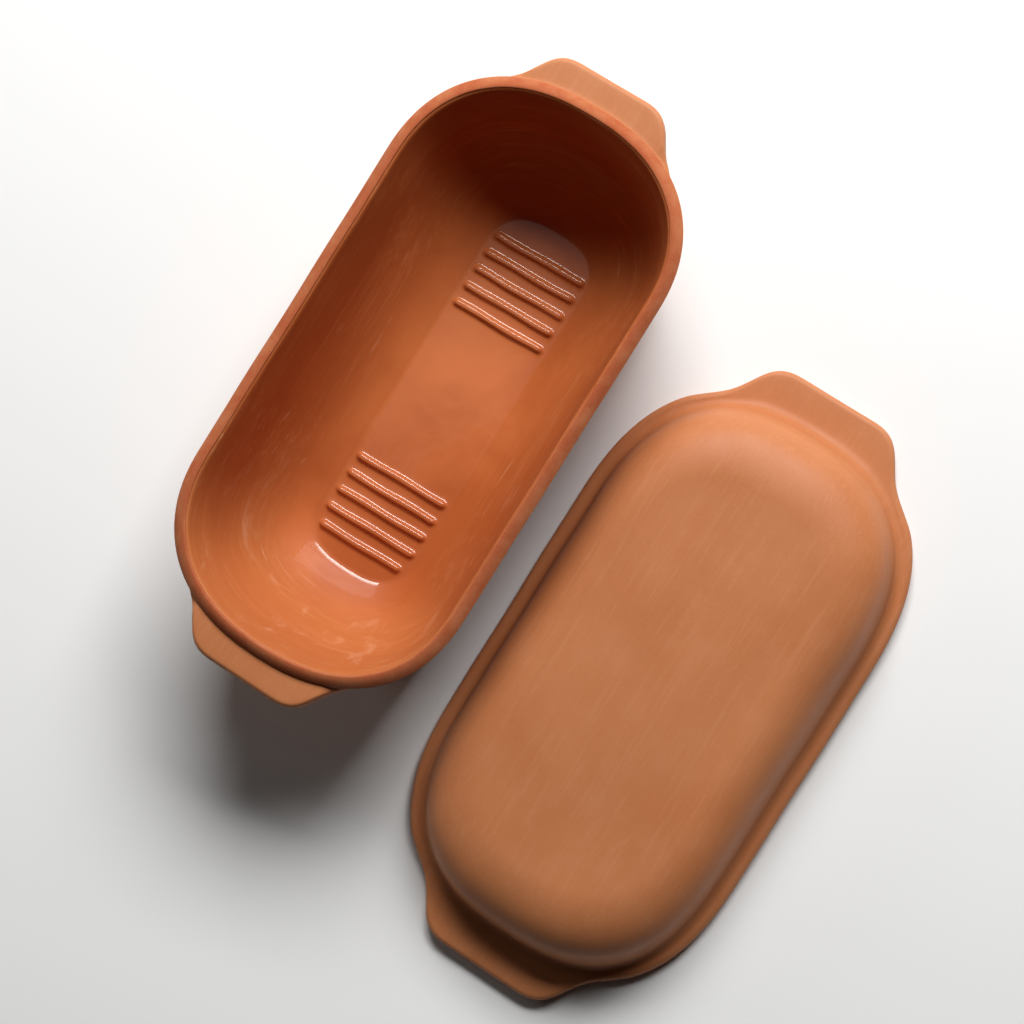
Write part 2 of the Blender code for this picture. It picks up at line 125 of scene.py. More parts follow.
class DishSizes(bpy.types.PropertyGroup):
    """Sizes of the dish, its lugs and its floor ribs."""

    half_width: length("Half width", "Half the rim's outer width", 0.0824)
    half_length: length("Half length", "Half the rim's outer length, without the lugs", 0.165)
    straight: length("Straight side", "Half the straight part of the long side", 0.091)
    power: share("Bend power", "Fullness of the rounded ends, 2 for an ellipse", 2.3)
    height: length("Height", "Height of the rim over the foot", 0.093)
    wall: length("Wall", "Thickness of the wall at the rim", 0.0065)
    floor: length("Floor", "Thickness of the floor", 0.009)
    slope: tilt("Wall slope", "Lean of the wall from upright", 11.5)
    foot_radius: length("Foot radius", "Radius where the wall turns in under the dish", 0.034)
    rim_outer: length("Rim outer rounding", "Height over which the rim's top falls to its outer side", 0.0036)
    rim_soft: length("Rim softness", "Width over which the rim's top falls to its outer side", 0.0055)
    rim_inner: length("Rim inner rounding", "Radius of the rim's inner edge", 0.0008)
    end_run: share("End run", "How much more the ends lean in than the sides", 1.185)
    straight_loss: share("Straight loss", "How much the straight side shortens as the wall leans in", 0.22)
    lug_tip: length("Lug tip", "How far each lug reaches from the middle", 0.1802)
    lug_tip_half: length("Lug tip half width", "Half the width of a lug at its tip", 0.0308)
    lug_waist_half: length("Lug waist half width", "Half the width where a lug leaves the wall", 0.0432)
    lug_waist_y: length("Lug waist place", "How far along the dish the lug leaves the wall", 0.160)
    lug_corner: length("Lug corner", "Radius of the lug's outer corners", 0.016)
    lug_flare: length("Lug flare", "Radius of the hollow curve at the lug's root", 0.020)
    lug_drop: length("Lug drop", "How far the lug's top lies below the rim", 0.0042)
    lug_thickness: length("Lug thickness", "Thickness of a lug", 0.0120)
    lug_edge: length("Lug edge", "Radius of a lug's edges", 0.003)
    lug_cove: length("Lug cove", "Radius where a lug meets the wall", 0.0006)
    lug_blend: length("Lug blend", "Reach over which the lug's level fades into the wall", 0.008)
    lug_root: length("Lug root", "Reach over which the lug's outline leaves the wall", 0.003)
    rib_count: IntProperty(name="Ribs", description="Ribs in each group on the floor", default=5, min=1)
    rib_end_gap: length("Rib end gap", "From the end of the flat floor to the last rib", 0.0130)
    rib_pitch: length("Rib pitch", "Distance between ribs", 0.0106)
    rib_shift: length("Rib shift", "How far both groups of ribs lie off the middle, along the dish", -0.0024)
    rib_turn: share("Rib turn", "How far each rib climbs along the dish for its length across it", 0.02)
    rib_side_gap: length("Rib side gap", "From a rib's end to the side of the flat floor", 0.0046)
    rib_last_gap: length("Last rib gap", "The same gap for the last rib", 0.0033)
    rib_half_width: length("Rib half width", "Half the width of a rib at half its height", 0.0018)
    rib_height: length("Rib height", "Height of a rib over the floor", 0.0022)
    glaze_gap: length("Glaze gap", "Gap between the glaze coat and the clay", 0.0002)
    glaze_thickness: length("Glaze thickness", "Thickness of the glaze coat", 0.0006)
    glaze_fade: length("Glaze fade", "Reach under the rim over which the glaze coat thins out", 0.0012)
    floor_edge: length("Floor edge", "How far the edge of the flat floor lies in from the rim", 0.04534)
    edge_radius: length("Floor edge radius", "Radius of the small bend at the flat floor's edge", 0.005)
    edge_turn: tilt("Floor edge turn", "How steeply the wall starts at the edge of the flat floor", 26.0)
    floor_fullness: share("Floor fullness", "How much fuller the flat floor's ends are than the rim", 0.45)
    floor_stretch: length("Floor stretch", "How much longer the flat floor is than the rim gives", 0.0022)


class LidSizes(bpy.types.PropertyGroup):
    """Sizes of the lid and its place beside the dish."""

    place_x: length("Place across", "Where the lid's middle lies across the dish", 0.1767)
    place_y: length("Place along", "Where the lid's middle lies along the dish", -0.0704)
    half_width: length("Half width", "Half the flange's width", 0.0909)
    half_length: length("Half length", "Half the flange's length, without the lugs", 0.163)
    straight: length("Straight side", "Half the straight part of the long side", 0.062)
    power: share("Bend power", "Fullness of the rounded ends, 2 for an ellipse", 2.58)
    height: length("Height", "Height of the dome over the table", 0.050)
    flange: length("Flange thickness", "Thickness of the flange and its lugs", 0.009)
    flange_edge: length("Flange edge", "Radius of the flange's edges", 0.0032)
    flange_width: length("Flange width", "Width of the flange outside the dome", 0.009)
    lug_tip: length("Lug tip", "How far each lug reaches from the middle", 0.179)
    lug_tip_half: length("Lug tip half width", "Half the width of a lug at its tip", 0.0353)
    lug_waist_half: length("Lug waist half width", "Half the width where a lug leaves the flange", 0.0505)
    lug_waist_y: length("Lug waist place", "How far along the lid the lug leaves the flange", 0.1545)
    lug_corner: length("Lug corner", "Radius of the lug's outer corners", 0.019)
    lug_flare: length("Lug flare", "Radius of the hollow curve at the lug's root", 0.032)
    slope: tilt("Dome slope", "Lean of the dome's flank from upright", 12.0)
    roll: length("Dome roll", "Radius where the flank turns into the top", 0.025)
    cove: length("Dome cove", "Radius where the flank meets the flange", 0.0055)
    end_cove: length("End cove", "The same radius in front of the lugs", 0.0075)
    crown: length("Crown", "Rise of the top over its rounded edge", 0.002)
    end_run: share("End run", "How much more the ends lean in than the sides", 1.5)
    straight_loss: share("Straight loss", "How much the straight side shortens up the dome", 0.6)
    wall: length("Wall", "Thickness of the dome's wall", 0.0065)
    mouth: length("Mouth rounding", "Radius of the hollow's edge", 0.0017)
    inner_slope: share("Inner slope share", "The hollow's slope as a share of the dome's", 0.7)


class FinishSettings(bpy.types.PropertyGroup):
    """Colours and surface of the clay and the glaze."""

    clay: colour("Clay", "Main colour of the bare clay", (0.515, 0.186, 0.072))
    clay_pale: colour("Pale clay", "Dusty bloom on the bare clay", (0.570, 0.240, 0.108))
    clay_dark: colour("Dark clay", "Darker, redder patches of the bare clay", (0.455, 0.147, 0.050))
    rim_clay: colour("Rim clay", "Redder clay of the dish's rim", (0.375, 0.076, 0.023))
    scuff: colour("Scuffs", "Pale scratches in the glaze on the walls", (0.680, 0.360, 0.210))
    grog: colour("Grog", "Grains in the clay", (0.260, 0.075, 0.035))
    glaze: colour("Glaze", "Main colour of the glazed inside", (0.575, 0.160, 0.047))
    glaze_pale: colour("Pale glaze", "Thin, brushed places of the glaze", (0.600, 0.205, 0.075))
    # Painted light: yellower tint for the wall of the end that faces the light
    lit_end_glaze: colour("Thin glaze", "Yellower glaze on the wall of one end", (0.465, 0.158, 0.050))
    # The dark glaze tints random patches and strokes, and is also painted shade over the whole wall
    glaze_dark: colour("Dark glaze", "Places where the glaze runs together", (0.405, 0.095, 0.024))
    unevenness: length("Unevenness", "Height of the slow hand-made waves in the surfaces", 0.00022)
    clay_shine: share("Clay shine", "Specular level of the bare clay", 0.24)
    patch_scale: share("Clay patches", "Wide patches of tone in the clay, to the metre", 14.0)
    cloud_scale: share("Clay clouds", "Smaller clouds of tone in the clay, to the metre", 48.0)
    wiped_scale: share("Wiping strokes", "Straight wiping strokes across the clay, to the metre", 560.0)
    turned_scale: share("Round strokes", "Wiping strokes round the clay, to the metre", 420.0)
    dust_scale: share("Clay dust", "Specks of pale dust on the clay, to the metre", 1500.0)
    grain_scale: share("Clay grains", "Places where a grain may show, to the metre", 900.0)
    pore_scale: share("Clay pores", "Places where a pore may show, to the metre", 520.0)
    fine_scale: share("Clay roughness", "Fine relief of the clay, to the metre", 2400.0)
    fine_relief: length("Fine relief", "Depth of the clay's fine relief", 0.00006)
    stroke_relief: length("Stroke relief", "Depth of the wiping strokes", 0.00014)
    pore_relief: length("Pore relief", "Depth of the pores", 0.00022)
    glaze_shine: share("Glaze shine", "Specular level of the clay under the glaze", 0.15)
    coat_roughness: share("Glaze gloss", "Roughness of the clear coat, 0 for a mirror", 0.045)
    coat_bending: share("Glaze bending", "Refractive index of the clear coat", 1.52)
    thin_coat: share("Thin coat", "Weight of the clear coat on the wall, where it is thinnest", 0.05)


class StageSettings(bpy.types.PropertyGroup):
    """Floor, lights and camera."""

    floor: colour("Floor", "Colour of the plain floor", (0.86, 0.86, 0.85))
    floor_grain: colour("Floor grain", "Colour of the floor's faint grain", (0.7, 0.7, 0.7))
    floor_half: length("Floor half size", "Half the side of the floor", 6.0)
    light_target: spot("Light target", "What the lights point at", (0.09, -0.03, 0.03))
    light_distance: length("Light distance", "How far each light stands from its target", 2.2)
    window_power: watts("Window power", "Power of the large soft light", 78.0)
    fill_power: watts("Fill power", "Power of the low light from the left", 5.0)
    ceiling_power: watts("Ceiling power", "Power of the faint light overhead", 0.25)
    air: share("Air", "Strength of the light from all round", 0.010)
    lens: FloatProperty(name="Lens", description="Focal length", default=85.32, unit="CAMERA")
    sensor: FloatProperty(name="Sensor", description="Width of the sensor", default=36.0, unit="CAMERA")
    camera_place: spot("Camera place", "Where the camera stands", (0.269844, -0.014588, 1.299982))


def eased(value):
    """Ease from 0 to 1: v * v * (3 - 2 v), held between 0 and 1."""
    value = np.clip(value, 0.0, 1.0)
    return value * value * (3.0 - 2.0 * value)


def drawn_in(outline, inset, shrink=0.0):
    """Half width, half length, half straight side and power of an outline drawn in by an inset and a coat.

    An outline with a reach gets fuller and longer ends with the square of the inset over that reach.
    """
    inward = np.clip(inset / outline["reach"], 0.0, 1.0) ** 2 if "reach" in outline else 0.0
    half_width = outline["half_width"] - inset - shrink
    half_length = outline["half_length"] - outline["end_run"] * inset - shrink
    half_length = half_length + outline.get("longer", 0.0) * inward
    straight = outline["straight"] - outline["straight_loss"] * inset
    power = outline["power"] + outline.get("fuller", 0.0) * inward
    return half_width, half_length, straight, power


def oval_points(outline, inset, turn, shrink=0.0):
    """Points on a quarter of an oval with straight sides, from +X round to +Y.

    Turn 0 to 1 runs up the straight side: x = half width, y = straight * turn.
    Turn 1 to 2 runs round the end with a = (turn - 1) * 90 degrees:
    x = half width * cos(a)^(2 / power), y = straight + (half length - straight) * sin(a)^(2 / power).
    The inset draws the outline in, at the ends by more than at the sides; shrink draws it in evenly.
    """
    half_width, half_length, straight, power = drawn_in(outline, inset, shrink)
    angle = np.clip(turn - 1.0, 0.0, 1.0) * QUARTER_TURN
    x = half_width * np.clip(np.cos(angle), 0.0, 1.0) ** (2.0 / power)
    bend = straight + (half_length - straight) * np.sin(angle) ** (2.0 / power)
    y = np.where(turn < 1.0, straight * turn, bend)
    return x + 0.0 * y, y + 0.0 * x


def rounded_path(points, radii, steps):
    """Path through the points whose inner corners are parabolas that start a tangent's reach away."""
    most = 0.48
    path = [points[0]]
    for before, corner, after, radius in zip(points, points[1:], points[2:], radii):
        to_before = (before - corner).normalized()
        to_after = (after - corner).normalized()
        reach = radius / math.tan(to_before.angle(to_after) / 2.0)
        reach = min(reach, most * (before - corner).length, most * (after - corner).length)
        start = corner + to_before * reach
        end = corner + to_after * reach
        for step in range(steps + 1):
            part = step / steps
            path.append(start.lerp(corner, part).lerp(corner.lerp(end, part), part))
    path.append(points[-1])
    return np.array([tuple(point) for point in path])


def arc_lengths(points):
    """Length along a line of points up to each of them."""
    steps = np.linalg.norm(np.diff(points, axis=0), axis=1)
    return np.concatenate([[0.0], np.cumsum(steps)])


def even_turns(outline, count):
    """Turns that cut a quarter of an outline into even lengths."""
    fine = np.linspace(0.0, 2.0, 2 * FINE_STEPS + 1)
    along = arc_lengths(np.stack(oval_points(outline, 0.0, fine), axis=1))
    return np.interp(np.linspace(0.0, along[-1], count + 1), along, fine)


def rim_outline(sizes):
    """Outer outline of the dish at its rim, or of the lid at its flange, without the lugs."""
    return {
        "half_width": sizes.half_width, "half_length": sizes.half_length, "straight": sizes.straight,
        "power": sizes.power, "end_run": sizes.end_run, "straight_loss": sizes.straight_loss,
    }


def lug_columns(sizes, turns):
    """For each column of a quarter: its point on the outline and its point on the outline round the lug.

    Both lie at the same share of the way from where the lug starts to the middle of its tip.
    """
    outline = rim_outline(sizes)
    first = 1.0 + LUG_START / QUARTER_TURN
    fine = np.linspace(first, 2.0, FINE_STEPS + 1)
    arc = np.stack(oval_points(outline, 0.0, fine), axis=1)
    along = arc_lengths(arc)
    corners = [
        Vector(arc[0]), Vector((sizes.lug_waist_half, sizes.lug_waist_y)),
        Vector((sizes.lug_tip_half, sizes.lug_tip)), Vector((0.0, sizes.lug_tip)),
    ]
    path = rounded_path(corners, (sizes.lug_flare, sizes.lug_corner), CORNER_STEPS)
    path_along = arc_lengths(path)
    rim = np.stack(oval_points(outline, 0.0, turns), axis=1)
    part = np.interp(turns, fine, along / along[-1]) * path_along[-1]
    round_lug = np.stack([np.interp(part, path_along, path[:, axis]) for axis in (0, 1)], axis=1)
    outward = softened(np.where((turns >= first)[:, None], round_lug - rim, 0.0), LUG_EVENING)
    return rim, rim + outward


def softened(quarter, spread):
    """Rows of x and y on a quarter's columns, evened out round the whole piece by a bell curve of weights."""
    ring = full_ring(np.append(quarter, np.zeros((len(quarter), 1)), axis=1)[None])[0, :, :2]
    reach = int(4 * spread)
    weights = np.exp(-0.5 * (np.arange(-reach, reach + 1) / spread) ** 2)
    weights /= weights.sum()
    rolled = [weight * np.roll(ring, step, axis=0) for step, weight in zip(range(-reach, reach + 1), weights)]
    return np.sum(rolled, axis=0)[:len(quarter)]


def arc_profile(height, slope, radius, steps):
    """Section of a leaning wall that rounds into a flat: (inset, rise) from the flat up.

    With c = height * tan(slope) + radius * tan((90 degrees - slope) / 2), an angle a along the rounding
    gives inset = c - radius * sin(a) and rise = radius - radius * cos(a).
    """
    turn = QUARTER_TURN - slope
    centre = height * math.tan(slope) + radius * math.tan(turn / 2.0)
    angle = np.linspace(0.0, turn, steps + 1)
    return centre - radius * np.sin(angle), radius - radius * np.cos(angle)


def full_ring(quarter):
    """Close rows of points from their quarter, which runs from +X round to +Y."""
    quarter = np.asarray(quarter, float)
    left = quarter[:, -2::-1] * (-1.0, 1.0, 1.0)
    back = quarter[:, 1:] * (-1.0, -1.0, 1.0)
    right = quarter[:, -2:0:-1] * (1.0, -1.0, 1.0)
    return np.concatenate([quarter, left, back, right], axis=1)


def full_values(quarter):
    """The same closing for plain values on the columns."""
    return np.concatenate([quarter, quarter[:, -2::-1], quarter[:, 1:], quarter[:, -2:0:-1]], axis=1)


def slow_waves(points, seed):
    """Sum of six slow sine waves of the place, between about -1 and 1, for a hand-made surface."""
    random = np.random.default_rng(seed)
    shortest, longest = 0.045, 0.13
    total = np.zeros(points.shape[:-1])
    for _ in range(6):
        direction = random.normal(size=3)
        direction /= np.linalg.norm(direction)
        wave = random.uniform(shortest, longest)
        total += np.sin(points @ direction * (2.0 * math.pi / wave) + random.uniform(0.0, 6.28))
    return total / 3.0


def made_uneven(points, amount, seed, floor_z, fade):
    """Move points by slow waves in x, y and z, less and less towards the standing face.

    The move hangs on the place alone, so pieces that touch stay together.
    """
    weight = eased((points[..., 2] - floor_z) / fade)
    push = np.stack([slow_waves(points, seed + number) for number in range(3)], axis=-1)
    return points + amount * push * weight[..., None]


def dish_uneven(points, finish):
    """The hand-made unevenness of the dish, the same for its clay and its glaze."""
    return made_uneven(points, finish.unevenness, seed=11, floor_z=0.001, fade=0.012)


def quad_rows(rows, columns):
    """Faces between closed rows of points as indices, row after row."""
    row = np.arange(rows - 1)[:, None] * columns
    here = np.arange(columns)[None, :]
    after = (here + 1) % columns
    faces = np.stack([row + here, row + after, row + after + columns, row + here + columns], axis=2)
    return faces.reshape(-1, 4)


def surface(name, points, quads, triangles, values, materials, smooth=True):
    """Mesh object from arrays of points, four-sided faces, triangles and values on the points."""
    mesh = bpy.data.meshes.new(name)
    mesh.vertices.add(len(points))
    mesh.vertices.foreach_set("co", np.ascontiguousarray(points, np.float32).ravel())
    corners = np.concatenate([quads.ravel(), triangles.ravel()]).astype(np.int32)
    starts = np.concatenate([
        np.arange(len(quads)) * 4, 4 * len(quads) + np.arange(len(triangles)) * 3,
    ]).astype(np.int32)
    mesh.loops.add(len(corners))
    mesh.loops.foreach_set("vertex_index", corners)
    mesh.polygons.add(len(starts))
    mesh.polygons.foreach_set("loop_start", starts)
    mesh.polygons.foreach_set("use_smooth", np.full(len(starts), smooth))
    mesh.update(calc_edges=True)
    for key, data in values.items():
        data = np.asarray(data, np.float32)
        kind, field = ("FLOAT_VECTOR", "vector") if data.ndim == 2 else ("FLOAT", "value")
        attribute = mesh.attributes.new(key, kind, "POINT")
        attribute.data.foreach_set(field, data.ravel())
    mesh.validate()
    for item in materials:
        mesh.materials.append(item)
    piece = bpy.data.objects.new(name, mesh)
    bpy.context.scene.collection.objects.link(piece)
    return piece


def shell(name, rows, values, materials, south, north):
    """Closed surface through closed rows of points, from a lower pole to an upper pole."""
    count, columns = rows.shape[:2]
    points = np.concatenate([rows.reshape(-1, 3), [south, north]])
    here = np.arange(columns)
    after = (here + 1) % columns
    low = count * columns
    last = (count - 1) * columns
    triangles = np.concatenate([
        np.stack([after, here, np.full(columns, low)], axis=1),
        np.stack([last + here, last + after, np.full(columns, low + 1)], axis=1),
    ])
    filled = {}
    for key, data in values.items():
        flat = data.reshape(count * columns, -1)
        ends = np.stack([data[0].mean(axis=0).ravel(), data[-1].mean(axis=0).ravel()])
        joined = np.concatenate([flat, ends])
        filled[key] = joined[:, 0] if joined.shape[1] == 1 else joined
    return surface(name, points, quad_rows(count, columns), triangles, filled, materials)


def stroke_places(rows):
    """Seamless place for brushed strokes that run round the piece.

    Two parts go round a circle with the columns, the third is the length along the section.
    """
    steps = np.linalg.norm(np.diff(rows, axis=0), axis=2)
    down = np.concatenate([np.zeros((1, rows.shape[1])), np.cumsum(steps, axis=0)])
    down = 0.5 * down + 0.5 * down.mean(axis=1, keepdims=True)
    angle = np.arange(rows.shape[1]) * (2.0 * math.pi / rows.shape[1])
    angle = np.broadcast_to(angle, down.shape)
    return np.stack([STROKE_RADIUS * np.cos(angle), STROKE_RADIUS * np.sin(angle), down], axis=2)


def dish_mouth(sizes):
    """Outline of the dish's hollow at its rim."""
    outline = rim_outline(sizes)
    outline["half_width"] -= sizes.wall
    outline["half_length"] -= sizes.wall
    outline["reach"] = sizes.floor_edge
    outline["fuller"] = sizes.floor_fullness
    outline["longer"] = sizes.floor_stretch
    return outline


def stack(parts):
    """Rows of quarter points from parts, each (x, y, z) with rows first and columns second."""
    return np.concatenate([np.stack([x, y, z + 0.0 * x], axis=2) for x, y, z in parts], axis=0)


def dish_lug_rows(sizes, turns, rim, outer):
    """Rows from the wall under a lug, round the lug and up to the rim's side.

    Over the lug a point lies at a distance d from the wall along the line to the lug's outline of length L:
    d = (1 - m) * min(a, L / 2) + m * (L - b * min(1, L / (3 * root))), where m goes from 0 at the wall to 1
    at the lug's edge, and a and b follow quarter circles at the coves and the edges.
    """
    top = sizes.height - sizes.lug_drop
    low = top - sizes.lug_thickness
    cove, edge = sizes.lug_cove, sizes.lug_edge
    bend = BEND
    hump = np.sin(2.0 * bend)
    flat = np.linspace(0.0, 1.0, 6)[1:-1]
    upright = np.linspace(0.0, 1.0, 4)[1:-1]
    # From the wall, from the tip, towards the tip, height, how much on an edge, how much painted shade in a
    # cove
    parts = [
        (cove * (1.0 - np.cos(bend)), 0.0, 0.0, low - cove + cove * np.sin(bend), 0.0, hump),
        (cove, edge, flat, low, 0.0, 0.0),
        (0.0, edge * (1.0 - np.sin(bend)), 1.0, low + edge * (1.0 - np.cos(bend)), hump, 0.0),
        (0.0, 0.0, 1.0, low + edge + upright * (top - low - 2.0 * edge), 0.0, 0.0),
        (0.0, edge * (1.0 - np.cos(bend)), 1.0, top - edge * (1.0 - np.sin(bend)), hump, 0.0),
        (cove, edge, flat[::-1], top, 0.0, 0.0),
        (cove * (1.0 - np.sin(bend)), 0.0, 0.0, top + cove * (1.0 - np.cos(bend)), 0.0, hump),
    ]
    columns = zip(*(np.broadcast_arrays(*part) for part in parts))
    from_wall, from_tip, towards_tip, lug_z, on_edge, cove_shade_share = (np.concatenate(column) for column in columns)
    wall_z = np.linspace(low - cove, top + cove, len(lug_z))
    inset = np.maximum(sizes.height - sizes.rim_outer - wall_z, 0.0) * math.tan(sizes.slope)
    x, y = oval_points(rim_outline(sizes), inset[:, None], turns[None, :])
    body = np.stack([x, y], axis=2)
    span = outer - rim
    size = np.linalg.norm(span, axis=1)
    direction = span / np.maximum(size, 1e-9)[:, None]
    near = np.minimum(from_wall[:, None], 0.5 * size)
    far = size - from_tip[:, None] * np.minimum(1.0, size / (3.0 * sizes.lug_root))
    mix = towards_tip[:, None]
    distance = (1.0 - mix) * near + mix * far
    base = (1.0 - mix[..., None]) * body + mix[..., None] * rim
    place = base + direction * distance[..., None]
    place = body + (place - body) * eased(size / sizes.lug_root)[None, :, None]
    level = eased(size / sizes.lug_blend)[None, :]
    z = wall_z[:, None] + (lug_z - wall_z)[:, None] * level
    rows = np.stack([place[..., 0], place[..., 1], z], axis=2)
    return rows, on_edge[:, None] * level, cove_shade_share[:, None] * level


def cove_radius(sizes):
    """Radius of the arc that goes from the small bend at the floor's edge into the leaning wall.

    The floor's edge lies at inset e. With s the wall's slope, b and r the turn and radius of the small bend,
    t = 90 degrees - s and h the height of the wall's top over the floor, the radius is
    (e - r * sin(b) - tan(s) * (h - r * (1 - cos(b)))) / (sin(t) - sin(b) - tan(s) * (cos(b) - cos(t))).
    """
    lean = math.tan(sizes.slope)
    end = QUARTER_TURN - sizes.slope
    turn, small = sizes.edge_turn, sizes.edge_radius
    height = sizes.height - sizes.rim_inner - sizes.floor
    left = sizes.floor_edge - small * math.sin(turn) - lean * (height - small * (1.0 - math.cos(turn)))
    return left / (math.sin(end) - math.sin(turn) - lean * (math.cos(turn) - math.cos(end)))


def cove_rise(sizes, reach):
    """Rise of the hollow over the flat floor at a reach beyond the floor's edge.

    The section starts with a small arc and goes on with a large one.
    """
    turn, small, large = sizes.edge_turn, sizes.edge_radius, cove_radius(sizes)
    reach = np.maximum(reach, 0.0)
    bend = small - np.sqrt(np.maximum(small ** 2 - np.minimum(reach, small * math.sin(turn)) ** 2, 0.0))
    middle = (small - large) * math.sin(turn)
    centre = small * (1.0 - math.cos(turn)) + large * math.cos(turn)
    sweep = centre - np.sqrt(np.maximum(large ** 2 - (reach - middle) ** 2, 0.0))
    return np.where(reach < small * math.sin(turn), bend, sweep)


def hollow_section(sizes, start, cove_steps, wall_steps):
    """Inset and rise of the hollow's section, from beyond the floor's edge up to the rim's rounding."""
    turn, small, large = sizes.edge_turn, sizes.edge_radius, cove_radius(sizes)
    end = QUARTER_TURN - sizes.slope
    angle = np.linspace(turn, end, cove_steps + 1)
    sweep = small * math.sin(turn) + large * (np.sin(angle) - math.sin(turn))
    within_bend = start < small * math.sin(turn)
    first = np.linspace(start, small * math.sin(turn), 5)[:-1] if within_bend else [start]
    least_step = 0.0002
    reach = np.concatenate([first, sweep[sweep > max(start, 0.0) + least_step]])
    rise = cove_rise(sizes, reach)
    height = sizes.height - sizes.rim_inner - sizes.floor
    wall = np.linspace(rise[-1], height, wall_steps + 1)[1:]
    inset = np.concatenate([sizes.floor_edge - reach, (height - wall) * math.tan(sizes.slope)])
    return inset, np.concatenate([rise, wall])


def hollow_rows(sizes, turns, shrink, wall_steps, cove_steps):
    """Rows of the dish's hollow from its flat floor up to the rim's rounding, drawn in evenly by a coat."""
    inset, rise = hollow_section(sizes, 0.0, cove_steps, wall_steps)
    x, y = oval_points(dish_mouth(sizes), inset[:, None], turns[None, :], shrink)
    z = sizes.floor + rise + shrink * (1.0 - rise / rise[-1])
    return np.stack([x, y, z[:, None] + 0.0 * x], axis=2)


def dish_rim_rows(sizes, turns):
    """Rows over the dish's rim, from its outer side up to the crest and down to the hollow, with a value.

    The value for each row says how much it lies on an edge.
    """
    side, mouth = rim_outline(sizes), dish_mouth(sizes)
    bend = np.linspace(0.0, QUARTER_TURN, 9)[:, None]
    side_x, side_y = oval_points(side, 0.0, turns[None, :])
    crest_x, crest_y = oval_points(mouth, -sizes.rim_inner, turns[None, :])
    inward = sizes.rim_soft / (sizes.wall - sizes.rim_inner) * (1.0 - np.cos(bend))
    fall = RIM_SLOPED * np.cos(bend) ** RIM_CURVE + RIM_ROUNDED * (1.0 - np.sin(bend))
    outer_x, outer_y = side_x + (crest_x - side_x) * inward, side_y + (crest_y - side_y) * inward
    inner_x, inner_y = oval_points(mouth, -sizes.rim_inner * (1.0 - np.sin(bend)), turns[None, :])
    rows = stack([
        (outer_x, outer_y, sizes.height - sizes.rim_outer * fall),
        (inner_x, inner_y, sizes.height - sizes.rim_inner * (1.0 - np.cos(bend))),
    ])
    return rows, np.tile(np.sin(2.0 * bend[:, 0]), 2)


def dish_clay_rows(sizes, columns):
    """Rows of the dish's clay from its foot's middle up the outside, over the rim and into the hollow."""
    side = rim_outline(sizes)
    turns = even_turns(side, columns)
    rim, outer = lug_columns(sizes, turns)
    side_top = sizes.height - sizes.rim_outer
    inset, rise = arc_profile(side_top, sizes.slope, sizes.foot_radius, steps=14)
    foot_x, foot_y = oval_points(side, inset[0], turns[None, :])
    cove_low = sizes.height - sizes.lug_drop - sizes.lug_thickness - sizes.lug_cove
    wall_z = np.linspace(rise[-1], cove_low, 8)[1:-1]
    wall_inset = (side_top - wall_z) * math.tan(sizes.slope)
    lower = stack([
        (foot_x * SPOKES, foot_y * SPOKES, 0.0),
        (*oval_points(side, inset[:, None], turns[None, :]), rise[:, None]),
        (*oval_points(side, wall_inset[:, None], turns[None, :]), wall_z[:, None]),
    ])
    lug, lug_edge, lug_cove = dish_lug_rows(sizes, turns, rim, outer)
    rim_rows, rim_edge = dish_rim_rows(sizes, turns)
    inside = hollow_rows(sizes, turns, shrink=0.0, wall_steps=8, cove_steps=14)[::-1][1:]
    floor_x, floor_y = inside[-1][None, :, 0], inside[-1][None, :, 1]
    floor = (floor_x * SPOKES[::-1], floor_y * SPOKES[::-1], sizes.floor)
    rows = np.concatenate([lower, lug, rim_rows, inside, stack([floor])])
    # How much each row lies on an edge, and how much painted shade it gets in a cove at a lug's root
    edge = np.zeros(rows.shape[:2])
    cove = np.zeros(rows.shape[:2])
    start = len(lower)
    edge[start:start + len(lug)] = lug_edge
    cove[start:start + len(lug)] = lug_cove
    start += len(lug)
    edge[start:start + len(rim_rows)] = rim_edge[:, None]
    return rows, edge, cove


def build_dish_clay(sizes, finish):
    """The dish's bare clay as one closed shell."""
    quarter, edge, cove = dish_clay_rows(sizes, QUARTER_COLUMNS)
    rows = full_ring(quarter)
    over_lugs = rows[..., 2] - sizes.height + sizes.lug_drop
    red_start, red_fade = 0.0003, 0.0015
    # The hollow value is painted shade for the coves where the lugs meet the wall
    values = {
        "edge": full_values(edge), "hollow": full_values(cove),
        "redder": eased((over_lugs - red_start) / red_fade), "strokes": stroke_places(rows),
    }
    south = (0.0, 0.0, 0.0)
    north = tuple(dish_uneven(np.array([0.0, 0.0, sizes.floor]), finish))
    material = clay_material("dish_clay_finish", finish, centre=(0.0, 0.0, 0.0), seed=3.0)
    return shell("dish_clay", dish_uneven(rows, finish), values, [material], south, north)


